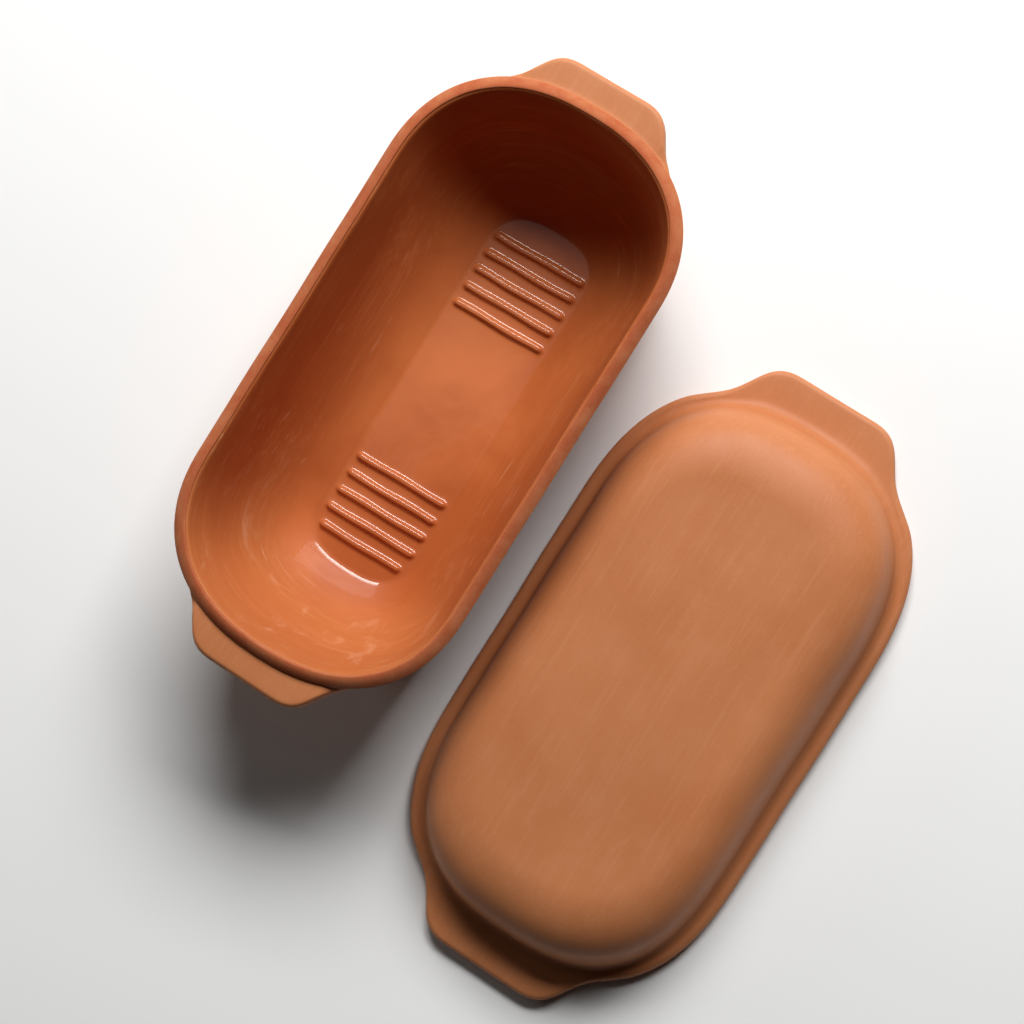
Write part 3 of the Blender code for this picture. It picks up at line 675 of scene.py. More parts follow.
def rib_rise(sizes, x, y):
    """Height of the ribs over the floor: each adds h / (1 + r^5), a rounded crown with a soft foot.

    r is the distance from the rib's middle line over its half width at half height. Height, width and middle
    line waver a little along a rib, in slow sine waves that differ from rib to rib.
    """
    def waver(amount, pace, step, turn):
        return amount * np.sin(x * pace + number * step + turn)

    mouth = dish_mouth(sizes)
    half_length = mouth["half_length"] - mouth["end_run"] * sizes.floor_edge
    half_width = mouth["half_width"] - sizes.floor_edge
    straight = mouth["straight"] - mouth["straight_loss"] * sizes.floor_edge
    power = mouth["power"]
    foot_power = 5
    rise = np.zeros(np.shape(x))
    for side in (-1.0, 1.0):
        for number in range(sizes.rib_count):
            middle = side * (half_length - sizes.rib_end_gap - number * sizes.rib_pitch) + sizes.rib_shift
            along = max(abs(middle) - straight, 0.0) / (half_length - straight)
            gap = sizes.rib_side_gap if number else sizes.rib_last_gap
            reach = half_width * (1.0 - along ** power) ** (1.0 / power) - gap
            line = middle + sizes.rib_turn * x + waver(amount=0.00018, pace=160.0, step=2.3, turn=side)
            width = sizes.rib_half_width * (1.0 + waver(amount=0.04, pace=230.0, step=1.7, turn=-side))
            height = sizes.rib_height * (1.0 + waver(amount=0.05, pace=120.0, step=3.1, turn=2.0 * side))
            out = np.maximum(np.abs(x) - reach, 0.0)
            rise += height / (1.0 + (np.hypot(out, y - line) / width) ** foot_power)
    return rise


def hollow_inset(sizes, x, y, shrink):
    """Inset of the hollow's outline that goes through each point, found by halving a range."""
    mouth = dish_mouth(sizes)
    low = np.zeros(np.shape(x))
    high = np.full(np.shape(x), mouth["half_width"] - 2.0 * shrink)
    for _ in range(HALVINGS):
        middle = 0.5 * (low + high)
        half_width, half_length, straight, power = drawn_in(mouth, middle, shrink)
        across = (np.abs(x) / half_width) ** power
        past = np.maximum(np.abs(y) - straight, 0.0) / np.maximum(half_length - straight, 1e-6)
        inside = across + past ** power < 1.0
        low = np.where(inside, middle, low)
        high = np.where(inside, high, middle)
    return low


def floor_height(sizes, x, y, shrink):
    """Height of the hollow's floor with its cove and ribs over a flat place (x, y)."""
    reach = sizes.floor_edge - hollow_inset(sizes, x, y, shrink)
    return sizes.floor + shrink + cove_rise(sizes, reach) + rib_rise(sizes, x, y)


def floor_patch(ring, side_count, end_count):
    """Grid of flat places inside a closed ring, by blending its four sides (a Coons patch).

    The ring starts at +X, and its corners lie half a side from there. A place is the blend of both long sides
    plus the blend of both ends, less the blend of the four corners.
    """
    half = side_count // 2
    ring = np.roll(ring, half, axis=0)
    right = ring[:side_count + 1]
    top = ring[side_count:side_count + end_count + 1]
    left = ring[side_count + end_count:2 * side_count + end_count + 1][::-1]
    bottom = np.concatenate([ring[2 * side_count + end_count:], ring[:1]])
    span = bottom[:, 0] - bottom[0, 0]
    across = (span / span[-1])[None, :, None]
    up = ((right[:, 1] - right[0, 1]) / (right[-1, 1] - right[0, 1]))[:, None, None]
    sides = left[:, None] * (1.0 - across) + right[:, None] * across
    ends = bottom[None] * (1.0 - up) + top[::-1][None] * up
    corner = (
        left[0] * (1.0 - across) * (1.0 - up) + right[0] * across * (1.0 - up)
        + left[-1] * (1.0 - across) * up + right[-1] * across * up
    )
    return sides + ends - corner


def glaze_turns(sizes, patch_inset, shrink):
    """Columns of the glaze coat on a quarter: close together beside the ribs, then across the end.

    The first value is the turn of each column; the others are the columns on a side and on an end.
    """
    outline = dish_mouth(sizes)
    half_width, half_length, straight, power = drawn_in(outline, patch_inset, shrink)
    corner_x, corner_y = oval_points(outline, patch_inset, np.array([PATCH_CORNER]), shrink)
    sparse = np.linspace(0.0, RIB_COLUMNS_START, MIDDLE_COLUMNS + 1)[:-1]
    dense = np.linspace(RIB_COLUMNS_START, float(corner_y[0]), RIB_COLUMNS + 1)
    y = np.concatenate([sparse, dense])
    past = np.clip((y - straight) / (half_length - straight), 0.0, 1.0)
    bend = 1.0 + np.arcsin(past ** (power / 2.0)) / QUARTER_TURN
    side = np.where(y < straight, y / straight, bend)
    crowding = 1.25
    x = float(corner_x[0]) * (1.0 - np.linspace(0.0, 1.0, END_COLUMNS + 1)[1:] ** crowding)
    end = 1.0 + np.arccos(np.clip(x / half_width, 0.0, 1.0) ** (power / 2.0)) / QUARTER_TURN
    return np.concatenate([side, end]), 2 * (len(side) - 1), 2 * len(end)


def glaze_skin(sizes, turns):
    """Closed rows of the glaze coat from its underside, over its edge at the rim, down to the floor patch.

    The coat's edge is tucked a little into the clay, and its underside ends further in, so neither shows.
    """
    edge_tuck, underside_tuck, underside_drop = 0.00006, 0.0004, 0.0003
    rim_foot = sizes.height - sizes.rim_inner
    outer, inner = sizes.glaze_gap, sizes.glaze_gap + sizes.glaze_thickness
    mouth = dish_mouth(sizes)
    under = hollow_rows(sizes, turns, outer, wall_steps=4, cove_steps=8)
    inset, rise = hollow_section(sizes, PATCH_REACH, cove_steps=22, wall_steps=18)
    z = sizes.floor + rise + inner * (1.0 - rise / rise[-1])
    thinned = inner - (inner + edge_tuck) * eased(1.0 - (rim_foot - z) / sizes.glaze_fade)
    over = (*oval_points(mouth, inset[::-1, None], turns[None, :], thinned[::-1, None]), z[::-1, None])
    sunk_x, sunk_y = oval_points(mouth, np.zeros((1, 1)), turns[None, :], -underside_tuck)
    sunk = (sunk_x, sunk_y, rim_foot - underside_drop)
    return full_ring(np.concatenate([under[:-1], stack([sunk, over])]))


def patch_grid(shape, first, last_row, side_count, end_count):
    """Point numbers of the floor patch: its own inside, and those of the skin's last row round them."""
    grid = np.zeros(shape, int)
    inside = grid[1:-1, 1:-1]
    inside[:] = first + np.arange(inside.size).reshape(inside.shape)
    ring = np.roll(last_row, side_count // 2)
    grid[:, -1] = ring[:side_count + 1]
    grid[-1, ::-1] = ring[side_count:side_count + end_count + 1]
    grid[::-1, 0] = ring[side_count + end_count:2 * side_count + end_count + 1]
    grid[0, :] = np.append(ring[2 * side_count + end_count:], ring[0])
    return grid


def build_glaze(sizes, finish):
    """The glaze coat as one closed skin.

    It holds the coat's underside, its edge at the rim, and the glossy inside with a patch for the ribs.
    """
    rim_foot = sizes.height - sizes.rim_inner
    outer, inner = sizes.glaze_gap, sizes.glaze_gap + sizes.glaze_thickness
    turns, side_count, end_count = glaze_turns(sizes, sizes.floor_edge - PATCH_REACH, inner)
    rows = glaze_skin(sizes, turns)
    count, columns = rows.shape[:2]
    strokes = stroke_places(rows)
    rows[-1, :, 2] = floor_height(sizes, rows[-1, :, 0], rows[-1, :, 1], inner)
    flat = floor_patch(rows[-1], side_count, end_count)[1:-1, 1:-1, :2]
    lift = floor_height(sizes, flat[..., 0], flat[..., 1], inner)
    first_patch = count * columns
    last_row = first_patch - columns + np.arange(columns)
    shape = (flat.shape[0] + 2, flat.shape[1] + 2)
    grid = patch_grid(shape, first_patch, last_row, side_count, end_count)
    patch_quads = np.stack([grid[:-1, :-1], grid[:-1, 1:], grid[1:, 1:], grid[1:, :-1]], axis=2)
    here = np.arange(columns)
    south = np.full(columns, first_patch + flat[..., 0].size)
    triangles = np.stack([(here + 1) % columns, here, south], axis=1)
    points = np.concatenate([
        rows.reshape(-1, 3), np.append(flat, lift[..., None], axis=2).reshape(-1, 3),
        [(0.0, 0.0, sizes.floor + outer)],
    ])
    reach = sizes.floor_edge - hollow_inset(sizes, points[:, 0], points[:, 1], inner)
    points = dish_uneven(points, finish)
    quads = np.concatenate([quad_rows(count, columns), patch_quads.reshape(-1, 4)])
    across, along = flat[..., 0], flat[..., 1]
    floor_strokes = np.stack([across * FLOOR_STROKES, along, FLOOR_STROKES + across], axis=2)
    wall_rise, rim_band, crease, crease_fade = 0.022, 0.005, 0.0018, 0.0022
    values = {
        "strokes": np.concatenate([strokes.reshape(-1, 3), floor_strokes.reshape(-1, 3), [(0.0, 0.0, 0.0)]]),
        "wall": eased((points[:, 2] - sizes.floor) / wall_rise),
        "edge": np.clip((points[:, 2] - rim_foot + rim_band) / rim_band, 0.0, 1.0),
        "pooled": 1.0 - eased((reach - crease) / crease_fade),
    }
    return surface("glaze_coat", points, quads, triangles, values, [glaze_material("glaze_finish", finish)])


def lid_hollow(sizes, foot_outline, turns):
    """Rows of the lid's hollow from the middle of its ceiling down round its mouth."""
    ceiling = sizes.height - sizes.crown - sizes.wall
    under_crown, under_spread = 0.6, 1.2
    ceiling_z = ceiling + under_crown * sizes.crown * eased(under_spread - under_spread * SPOKES)
    slope = sizes.slope * sizes.inner_slope
    inset, drop = arc_profile(ceiling, slope, sizes.roll - 0.5 * sizes.wall, steps=14)
    flat_x, flat_y = oval_points(foot_outline, sizes.wall + inset[0], turns[None, :])
    inner_z = ceiling - drop
    wall_z = np.linspace(inner_z[-1], sizes.mouth, 6)[1:]
    bend = BEND[1:]
    mouth_inset = sizes.wall + sizes.mouth * math.tan(slope) - sizes.mouth * (1.0 - np.cos(bend))
    inset = np.concatenate([sizes.wall + inset, sizes.wall + wall_z * math.tan(slope), mouth_inset])
    z = np.concatenate([inner_z, wall_z, sizes.mouth * (1.0 - np.sin(bend))])
    return stack([
        (flat_x * SPOKES, flat_y * SPOKES, ceiling_z),
        (*oval_points(foot_outline, inset[:, None], turns[None, :]), z[:, None]),
    ])


def lid_flange(sizes, mouth_ring, outer, foot, cove):
    """Rows of the lid's flange from the hollow's mouth, round its edge and in to the cove, with two values.

    The values for each row say how much it lies on an edge and how much painted shade it gets in the cove.
    """
    bend = BEND
    edge = sizes.flange_edge
    span = foot - outer
    span /= np.linalg.norm(span, axis=1)[:, None]
    edge_ring = outer + span * edge

    def between(start, end, count):
        part = np.linspace(0.0, 1.0, count)[1:-1, None, None]
        return start[None] * (1.0 - part) + end[None] * part

    def round_edge(inset, z):
        place = outer[None] + span[None] * (inset[:, None] + 0.0 * outer[:, 0])[..., None]
        return place[..., 0], place[..., 1], z[:, None]

    upright = np.linspace(0.0, 1.0, 4)[1:-1]
    flat_under = between(mouth_ring, edge_ring, 5)
    flat_top = between(edge_ring, foot - span * cove[:, None], 7)
    cove_place = foot[None] - span[None] * (cove * (1.0 - np.sin(bend))[:, None])[..., None]
    rows = stack([
        (flat_under[..., 0], flat_under[..., 1], 0.0),
        round_edge(edge * (1.0 - np.sin(bend)), edge * (1.0 - np.cos(bend))),
        round_edge(0.0 * upright, edge + upright * (sizes.flange - 2.0 * edge)),
        round_edge(edge * (1.0 - np.cos(bend)), sizes.flange - edge * (1.0 - np.sin(bend))),
        (flat_top[..., 0], flat_top[..., 1], sizes.flange),
        (cove_place[..., 0], cove_place[..., 1], sizes.flange + cove * (1.0 - np.cos(bend))[:, None]),
    ])
    hump = np.sin(2.0 * bend)
    low, high, flat = np.zeros(len(flat_under)), np.zeros(len(upright)), np.zeros(len(flat_top))
    on_edge = np.concatenate([low, hump, high, hump, flat, 0.0 * hump])
    cove_shade_share = np.concatenate([low, 0.0 * hump, high, 0.0 * hump, flat, hump])
    return rows, on_edge, cove_shade_share


def lid_dome(sizes, foot_outline, turns, cove):
    """Rows of the lid's dome from the cove up its flank and over to the middle of its top."""
    shoulder = sizes.height - sizes.crown
    lean = math.tan(sizes.slope)
    crown_spread = 1.15
    inset, drop = arc_profile(shoulder - sizes.flange, sizes.slope, sizes.roll, steps=22)
    inset = inset[:, None] - cove * lean
    part = np.linspace(0.0, 1.0, 5)[1:-1, None]
    flank_z = sizes.flange + cove + part * (shoulder - drop[-1] - sizes.flange - cove)
    flank_inset = (flank_z - sizes.flange - cove) * lean
    spread = np.linspace(1.0, 0.03, 16)[1:, None]
    crown_x, crown_y = oval_points(foot_outline, inset[0], turns[None, :])
    return stack([
        (*oval_points(foot_outline, flank_inset, turns[None, :]), flank_z),
        (*oval_points(foot_outline, inset[::-1], turns[None, :]), (shoulder - drop[::-1])[:, None]),
        (crown_x * spread, crown_y * spread, shoulder + sizes.crown * eased(crown_spread * (1.0 - spread))),
    ])


def lid_rows(sizes, columns):
    """Rows of the lid from the middle of its hollow, round the flange and up to the middle of its top."""
    lug_reach, cove_share = 0.016, 0.85
    foot_outline = rim_outline(sizes)
    foot_outline["half_width"] -= sizes.flange_width
    foot_outline["half_length"] -= sizes.flange_width
    turns = even_turns(rim_outline(sizes), columns)
    rim, outer = lug_columns(sizes, turns)
    foot = np.stack(oval_points(foot_outline, 0.0, turns), axis=1)
    reach = np.linalg.norm(foot - outer, axis=1)
    before_lug = eased(np.linalg.norm(outer - rim, axis=1) / lug_reach)
    cove = sizes.cove + (sizes.end_cove - sizes.cove) * before_lug
    cove = np.minimum(cove, cove_share * (reach - sizes.flange_edge))
    hollow = lid_hollow(sizes, foot_outline, turns)
    flange, on_edge, cove_shade_share = lid_flange(sizes, hollow[-1, :, :2], outer, foot, cove)
    dome = lid_dome(sizes, foot_outline, turns, cove)
    edge, painted_cove_shade = (
        np.concatenate([np.zeros(len(hollow)), values, np.zeros(len(dome))]) for values in (on_edge, cove_shade_share)
    )
    return np.concatenate([hollow, flange, dome]), edge, painted_cove_shade


def build_lid(sizes, finish):
    """The lid as one closed shell, set down beside the dish."""
    quarter, edge, cove = lid_rows(sizes, QUARTER_COLUMNS)
    rows = full_ring(quarter)
    strokes = stroke_places(rows)
    place = np.array([sizes.place_x, sizes.place_y, 0.0])
    amount = LID_WAVES * finish.unevenness
    rows = made_uneven(rows, amount, seed=29, floor_z=0.001, fade=0.008) + place
    columns = rows.shape[1]
    values = {
        "edge": np.repeat(edge[:, None], columns, axis=1),
        # The hollow value is painted shade for the cove where the dome meets the flange
        "hollow": np.repeat(cove[:, None], columns, axis=1),
        "redder": np.zeros((len(rows), columns)),
        "strokes": strokes,
    }
    south = tuple(rows[0].mean(axis=0))
    north = tuple(rows[-1].mean(axis=0))
    material = clay_material("lid_clay_finish", finish, centre=tuple(place), seed=9.0)
    return shell("lid_clay", rows, values, [material], south, north)


class Graph:
    """Short way to add and join the nodes of one material."""

    def __init__(self, name):
        self.material = bpy.data.materials.new(name)
        self.material.use_nodes = True
        self.tree = self.material.node_tree
        self.shader = self.tree.nodes["Principled BSDF"]

    def add(self, kind, links=None, **settings):
        """Add a node, set its fields, and set or link its inputs."""
        node = self.tree.nodes.new(kind)
        for key, value in settings.items():
            setattr(node, key, value)
        for key, value in (links or {}).items():
            self.put(node.inputs[key], value)
        return node

    def put(self, socket, value):
        """Link an output to a socket, or set the socket's own value."""
        if isinstance(value, bpy.types.NodeSocket):
            self.tree.links.new(value, socket)
        elif isinstance(value, bpy.types.Node):
            self.tree.links.new(value.outputs[0], socket)
        else:
            socket.default_value = value

    def attribute(self, name, output="Fac"):
        """A value or vector kept on the piece's points."""
        return self.add("ShaderNodeAttribute", attribute_name=name).outputs[output]

    def place(self, source, centre, stretch):
        """A place, moved to a centre and stretched."""
        return self.add("ShaderNodeMapping", {"Vector": source, "Location": centre, "Scale": stretch})

    def noise(self, place, scale, detail=4.0, roughness=0.55, distortion=0.0):
        """Smooth noise of a place, between 0 and 1."""
        return self.add("ShaderNodeTexNoise", {
            "Vector": place, "Scale": scale,
            "Detail": detail, "Roughness": roughness, "Distortion": distortion,
        })

    def cells(self, place, scale):
        """Distance to scattered points."""
        return self.add("ShaderNodeTexVoronoi", {"Vector": place, "Scale": scale})

    def ramp(self, value, low, high, out_low=0.0, out_high=1.0):
        """Change of range, held at both ends and eased."""
        return self.add("ShaderNodeMapRange", {
            0: value, 1: low, 2: high, 3: out_low, 4: out_high,
        }, interpolation_type="SMOOTHSTEP")

    def plus(self, first, second):
        """Sum of two values."""
        return self.add("ShaderNodeMath", {0: first, 1: second}, operation="ADD")

    def times(self, first, second):
        """Product of two values."""
        return self.add("ShaderNodeMath", {0: first, 1: second}, operation="MULTIPLY")

    def mix(self, amount, tone, values):
        """A tone moved towards a colour by an amount."""
        node = self.add("ShaderNodeMix", data_type="RGBA")
        self.put(node.inputs[0], amount)
        self.put(node.inputs[6], tone)
        self.put(node.inputs[7], solid(values))
        return node.outputs[2]

    def bump(self, height, distance, strength, normal=None):
        """Surface relief from a height in metres."""
        links = {"Height": height, "Distance": distance, "Strength": strength}
        if normal is not None:
            links["Normal"] = normal
        return self.add("ShaderNodeBump", links)

    def finished(self, inputs):
        """Set or link the shader's inputs, and hand over the material."""
        for key, value in inputs.items():
            self.put(self.shader.inputs[key], value)
        return self.material


def solid(values):
    """A colour with full cover."""
    return (*values, 1.0)


def clay_material(name, finish, centre, seed):
    """Bare fired clay: patchy orange, paler dust, wiping strokes, grains, pits, rubbed edges and painted
    shade in the coves.
    """
    g = Graph(name)
    base = g.add("ShaderNodeTexCoord").outputs["Object"]
    shift = (0.13 * seed - centre[0], 0.07 * seed - centre[1], 0.11 * seed)
    place = g.place(base, shift, (1.0, 1.0, 1.0))
    along = g.place(base, shift, (1.0, 0.035, 1.0))
    strokes = g.attribute("strokes", "Vector")
    ringed = g.place(strokes, (0.0, 0.0, 0.05 * seed), (0.10, 0.10, 1.0))

    # Patches, clouds and wiping strokes
    patches = g.noise(place, finish.patch_scale, roughness=0.5, distortion=0.3)
    clouds = g.noise(place, finish.cloud_scale)
    wiped = g.noise(along, finish.wiped_scale)
    turned = g.noise(ringed, finish.turned_scale)
    streaks = g.plus(g.times(wiped, 0.7), g.times(turned, 0.3))
    tone = g.mix(g.ramp(patches, 0.30, 0.68, 0.25, 0.95), solid(finish.clay_dark), finish.clay)
    tone = g.mix(g.ramp(clouds, 0.42, 0.78, 0.0, 0.18), tone, finish.clay_pale)
    tone = g.mix(g.ramp(streaks, 0.50, 0.66, 0.0, 0.26), tone, finish.clay_pale)
    tone = g.mix(g.ramp(streaks, 0.48, 0.36, 0.0, 0.16), tone, finish.clay_dark)

    # The redder rim, pale dust, dark grains, rubbed edges, and painted shade that darkens the coves
    redder = g.attribute("redder")
    fired = g.ramp(g.noise(place, 75.0, roughness=0.6), 0.34, 0.62, 0.74, 1.0)
    tone = g.mix(g.times(redder, fired), tone, finish.rim_clay)
    dust = g.noise(place, finish.dust_scale, detail=2.0, roughness=0.6)
    tone = g.mix(g.ramp(dust, 0.40, 0.64, 0.0, 0.16), tone, finish.clay_pale)
    grains = g.ramp(g.cells(place, finish.grain_scale), 0.20, 0.08)
    grain_pick = g.ramp(g.noise(place, 240.0, detail=2.0), 0.52, 0.66)
    tone = g.mix(g.times(g.times(grains, grain_pick), 0.55), tone, finish.grog)
    edge = g.attribute("edge")
    worn = g.times(edge, g.ramp(g.noise(place, 90.0), 0.35, 0.65))
    tone = g.mix(g.times(worn, 0.30), tone, finish.clay_pale)
    # Painted shade: the clay is darkened in the coves where the lugs meet the wall and where the dome meets
    # the flange
    hollow = g.attribute("hollow")
    tone = g.mix(g.times(hollow, 0.25), tone, finish.clay_dark)

    # Shine, pores and relief
    rough = g.ramp(g.plus(g.times(clouds, 0.6), g.times(streaks, 0.4)), 0.35, 0.70, 0.46, 0.60)
    pores = g.ramp(g.cells(place, finish.pore_scale), 0.16, 0.05)
    pore_pick = g.ramp(g.noise(place, 130.0, detail=2.0), 0.55, 0.64)
    pits = g.times(pores, pore_pick)
    fine = g.noise(place, finish.fine_scale, detail=3.0, roughness=0.6)
    first = g.bump(fine, finish.fine_relief, 0.55)
    second = g.bump(streaks, finish.stroke_relief, 0.45, first)
    third = g.bump(g.times(pits, -1.0), finish.pore_relief, 0.7, second)
    return g.finished({
        "Base Color": tone, "Roughness": g.plus(rough, g.times(redder, 0.3)),
        "Specular IOR Level": finish.clay_shine, "Normal": third,
    })


def glaze_material(name, finish):
    """Clear glaze over clay: deep orange with brushed strokes, small runs, pits and a glossy coat, with
    painted shade on the wall and a painted-light tint on the lit end.
    """
    g = Graph(name)
    base = g.add("ShaderNodeTexCoord").outputs["Object"]
    place = g.place(base, (0.31, 0.17, 0.05), (1.0, 1.0, 1.0))
    strokes = g.attribute("strokes", "Vector")
    ringed = g.place(strokes, (0.0, 0.0, 0.0), (0.12, 0.12, 1.0))
    wall = g.attribute("wall")

    # Patches, painted shade that darkens the whole wall, and brushed strokes on the wall
    patches = g.noise(place, 13.0, roughness=0.5, distortion=0.4)
    brushed = g.noise(ringed, 620.0, roughness=0.6, distortion=0.2)
    swept = g.noise(ringed, 130.0, detail=3.0, distortion=0.8)
    tone = g.mix(g.ramp(patches, 0.32, 0.70), solid(finish.glaze_dark), finish.glaze)
    # Painted shade: the whole wall is pulled towards the dark glaze, so it reads darker than the floor
    tone = g.mix(g.times(wall, 0.75), tone, finish.glaze_dark)
    paler = g.plus(g.times(brushed, 0.55), g.times(swept, 0.45))
    tone = g.mix(g.times(g.ramp(paler, 0.47, 0.66, 0.0, 0.40), wall), tone, finish.glaze_pale)
    tone = g.mix(g.times(g.ramp(paler, 0.48, 0.34, 0.0, 0.28), wall), tone, finish.glaze_dark)

    # Painted light: the end wall that faces the light is tinted yellower, as the light makes it look; smears
    # on that end, and scratches on the wall
    apart = g.add("ShaderNodeSeparateXYZ", {"Vector": base}).outputs
    lit_end_wall = g.times(g.ramp(apart["Y"], -0.04, -0.125), wall)
    tone = g.mix(g.times(lit_end_wall, 0.45), tone, finish.lit_end_glaze)
    smeared = g.place(base, (0.1, 0.3, 0.0), (1.0, 0.35, 1.0))
    smears = g.ramp(g.noise(smeared, 48.0, roughness=0.62, distortion=1.2), 0.55, 0.72)
    tone = g.mix(g.times(g.times(smears, lit_end_wall), 0.30), tone, finish.scuff)
    slanted = g.place(strokes, (0.2, 0.4, 0.0), (0.05, 0.08, 1.0))
    scratches = g.ramp(g.noise(slanted, 560.0, detail=3.0, roughness=0.5, distortion=0.6), 0.60, 0.72)
    scuffed = g.ramp(g.noise(place, 24.0, detail=2.0), 0.54, 0.66)
    scuffs = g.times(g.times(scratches, scuffed), wall)
    tone = g.mix(g.times(scuffs, 0.5), tone, finish.scuff)

    # The paler edge and small pits
    edge = g.attribute("edge")
    tone = g.mix(g.times(edge, 0.08), tone, finish.glaze_pale)
    specks = g.ramp(g.cells(place, 420.0), 0.12, 0.04)
    speck_pick = g.ramp(g.noise(place, 130.0, detail=2.0), 0.64, 0.70)
    pits = g.times(specks, speck_pick)
    tone = g.mix(g.times(pits, 0.6), tone, finish.grog)

    # Relief, and the clear coat that is full on the floor and thin on the wall
    swell = g.noise(place, 55.0, detail=2.0, roughness=0.45, distortion=0.4)
    first = g.bump(swell, 0.0004, 0.25)
    second = g.bump(g.times(paler, wall), 0.00016, 0.5, first)
    third = g.bump(g.times(pits, -1.0), 0.0002, 0.7, second)
    coat = g.ramp(g.attribute("pooled"), 0.0, 1.0, finish.thin_coat, 1.0)
    return g.finished({
        "Base Color": tone, "Roughness": g.ramp(brushed, 0.35, 0.70, 0.42, 0.58),
        "Specular IOR Level": finish.glaze_shine, "Coat Weight": coat,
        "Coat Roughness": finish.coat_roughness, "Coat IOR": finish.coat_bending,
        "Normal": third, "Coat Normal": third,
    })


def floor_material(stage):
    """Plain pale floor with the faintest paper grain."""
    g = Graph("floor_finish")
    base = g.add("ShaderNodeTexCoord").outputs["Object"]
    grain = g.ramp(g.noise(base, 900.0, detail=2.0), 0.3, 0.7, 0.0, 0.04)
    tone = g.mix(grain, solid(stage.floor), stage.floor_grain)
    return g.finished({"Base Color": tone, "Roughness": 0.85})


def add_light(name, stage, power, azimuth, elevation, size):
    """Soft white rectangular light that points at the stage's target.

    Its direction from there is given in degrees from +X round to +Y, and up.
    """
    data = bpy.data.lights.new(name, "AREA")
    data.shape = "RECTANGLE"
    data.size, data.size_y = size
    data.energy = power
    light = bpy.data.objects.new(name, data)
    turn, rise = math.radians(azimuth), math.radians(elevation)
    direction = Vector((math.cos(turn) * math.cos(rise), math.sin(turn) * math.cos(rise), math.sin(rise)))
    face = direction.to_track_quat("Z", "Y").to_matrix().to_4x4()
    light.matrix_world = Matrix.Translation(stage.light_target + stage.light_distance * direction) @ face
    bpy.context.scene.collection.objects.link(light)
    return light


def add_camera(stage):
    """Camera of the photograph, from its place and the picture's right, down and forward directions."""
    right = Vector((0.835116, 0.531025, -0.143507))
    down = Vector((0.526274, -0.847223, -0.072450))
    forward = Vector((-0.160055, -0.015019, -0.986994))
    data = bpy.data.cameras.new("photo_camera")
    data.lens = stage.lens
    data.sensor_width = stage.sensor
    data.clip_start = 0.01
    data.clip_end = 30.0
    camera = bpy.data.objects.new("photo_camera", data)
    turn = Matrix((right, -down, -forward)).transposed().to_4x4()
    camera.matrix_world = Matrix.Translation(stage.camera_place) @ turn
    bpy.context.scene.collection.objects.link(camera)
    bpy.context.scene.camera = camera
    return camera


class CLAYBAKER_OT_dish_clay(bpy.types.Operator):
    """Build the dish's bare clay"""

    bl_idname = "claybaker.dish_clay"
    bl_label = "Dish clay"

    def execute(self, context):
        scene = context.scene
        piece = build_dish_clay(scene.claybaker_dish, scene.claybaker_finish)
        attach(piece, DISH_BODY)
        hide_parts("dish_body")
        return {"FINISHED"}


class CLAYBAKER_OT_glaze(bpy.types.Operator):
    """Build the glazed inside of the dish with its ribs"""

    bl_idname = "claybaker.glaze"
    bl_label = "Glazed inside"

    def execute(self, context):
        scene = context.scene
        piece = build_glaze(scene.claybaker_dish, scene.claybaker_finish)
        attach(piece, DISH_BODY)
        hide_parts("dish_glaze")
        return {"FINISHED"}


class CLAYBAKER_OT_lid(bpy.types.Operator):
    """Build the lid"""

    bl_idname = "claybaker.lid"
    bl_label = "Lid"

    def execute(self, context):
        scene = context.scene
        piece = build_lid(scene.claybaker_lid, scene.claybaker_finish)
        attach(piece, LID_BODY)
        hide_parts("lid")
        return {"FINISHED"}


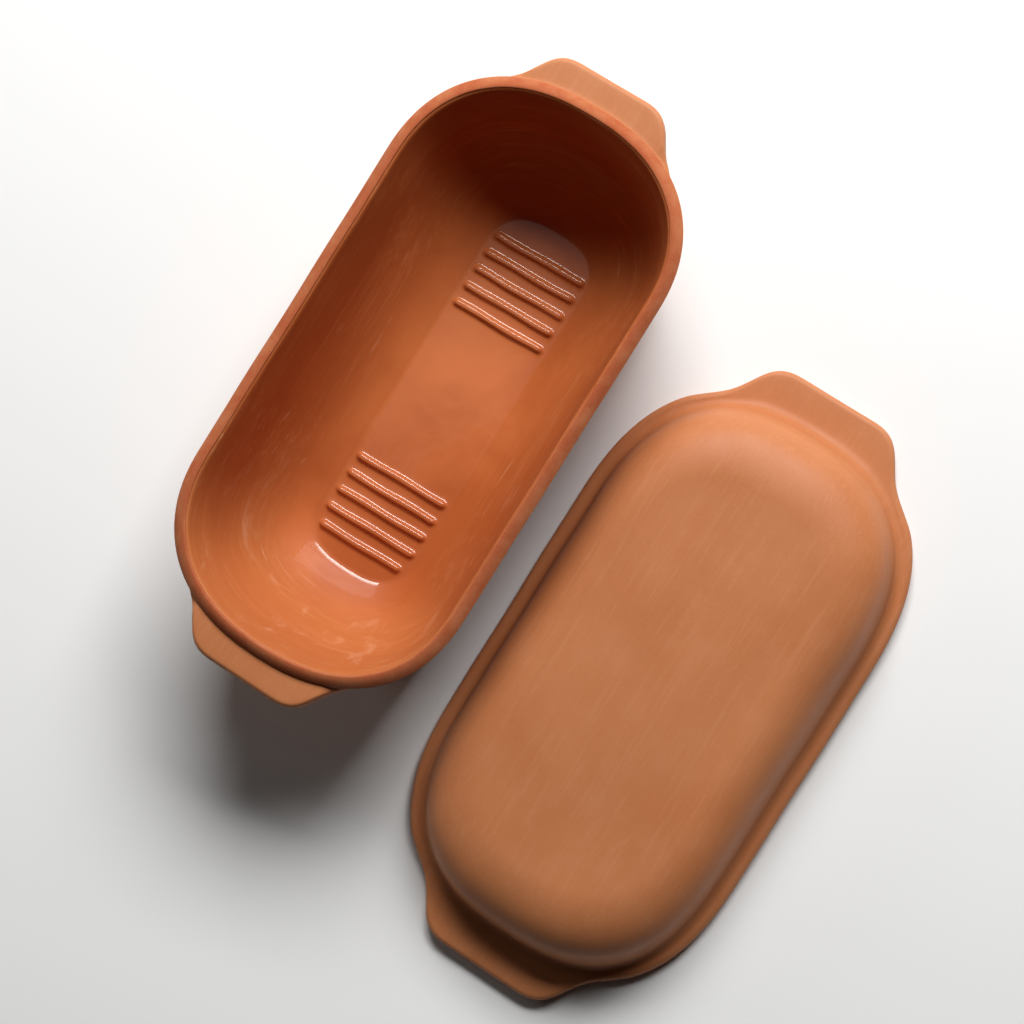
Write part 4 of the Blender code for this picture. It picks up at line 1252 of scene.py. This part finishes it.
class CLAYBAKER_OT_stage(bpy.types.Operator):
    """Lay the floor, hang the lights and set up the camera"""

    bl_idname = "claybaker.stage"
    bl_label = "Studio"

    def execute(self, context):
        scene = context.scene
        stage = scene.claybaker_stage
        half = stage.floor_half
        points = np.array([(-half, -half, 0.0), (half, -half, 0.0), (half, half, 0.0), (-half, half, 0.0)])
        square, none = np.array([[0, 1, 2, 3]]), np.zeros((0, 3), int)
        floor = surface("floor", points, square, none, {}, [floor_material(stage)], smooth=False)
        add_light("soft_window", stage, stage.window_power, azimuth=103.5, elevation=43.0, size=(1.7, 0.92))
        add_light("left_fill", stage, stage.fill_power, azimuth=186.0, elevation=18.0, size=(0.8, 0.8))
        add_light("ceiling", stage, stage.ceiling_power, azimuth=147.0, elevation=73.0, size=(0.8, 0.4))
        world = bpy.data.worlds.new("studio_air")
        world.use_nodes = True
        air = world.node_tree.nodes["Background"]
        air.inputs["Color"].default_value = solid((1.0, 1.0, 1.0))
        air.inputs["Strength"].default_value = stage.air
        scene.world = world
        scene.view_settings.view_transform = "Standard"
        add_camera(stage)
        return {"FINISHED"}


class CLAYBAKER_PT_panel(bpy.types.Panel):
    """Panel that lists the baker's pieces and settings."""

    bl_idname = "CLAYBAKER_PT_panel"
    bl_label = "Clay baker"
    bl_space_type = "VIEW_3D"
    bl_region_type = "UI"
    bl_category = "Clay baker"

    def draw(self, context):
        for operator in OPERATORS:
            self.layout.operator(operator.bl_idname)
        for group in (context.scene.claybaker_finish, context.scene.claybaker_stage):
            box = self.layout.box()
            for key in group.bl_rna.properties.keys():
                if key not in ("rna_type", "name"):
                    box.prop(group, key)


GROUPS = {
    "claybaker_dish": DishSizes, "claybaker_lid": LidSizes,
    "claybaker_finish": FinishSettings, "claybaker_stage": StageSettings,
}
OPERATORS = (CLAYBAKER_OT_dish_clay, CLAYBAKER_OT_glaze, CLAYBAKER_OT_lid, CLAYBAKER_OT_stage)


def register():
    """Register the settings, the operators and the panel."""
    for key, group in GROUPS.items():
        bpy.utils.register_class(group)
        setattr(bpy.types.Scene, key, PointerProperty(type=group))
    for item in (*OPERATORS, CLAYBAKER_PT_panel):
        bpy.utils.register_class(item)


def unregister():
    """Take everything back out."""
    for item in (CLAYBAKER_PT_panel, *reversed(OPERATORS)):
        bpy.utils.unregister_class(item)
    for key, group in GROUPS.items():
        delattr(bpy.types.Scene, key)
        bpy.utils.unregister_class(group)


def main():
    """Build every piece and the studio."""
    register()
    bpy.ops.claybaker.dish_clay()
    bpy.ops.claybaker.glaze()
    bpy.ops.claybaker.lid()
    bpy.ops.claybaker.stage()


if __name__ == "__main__":
    main()
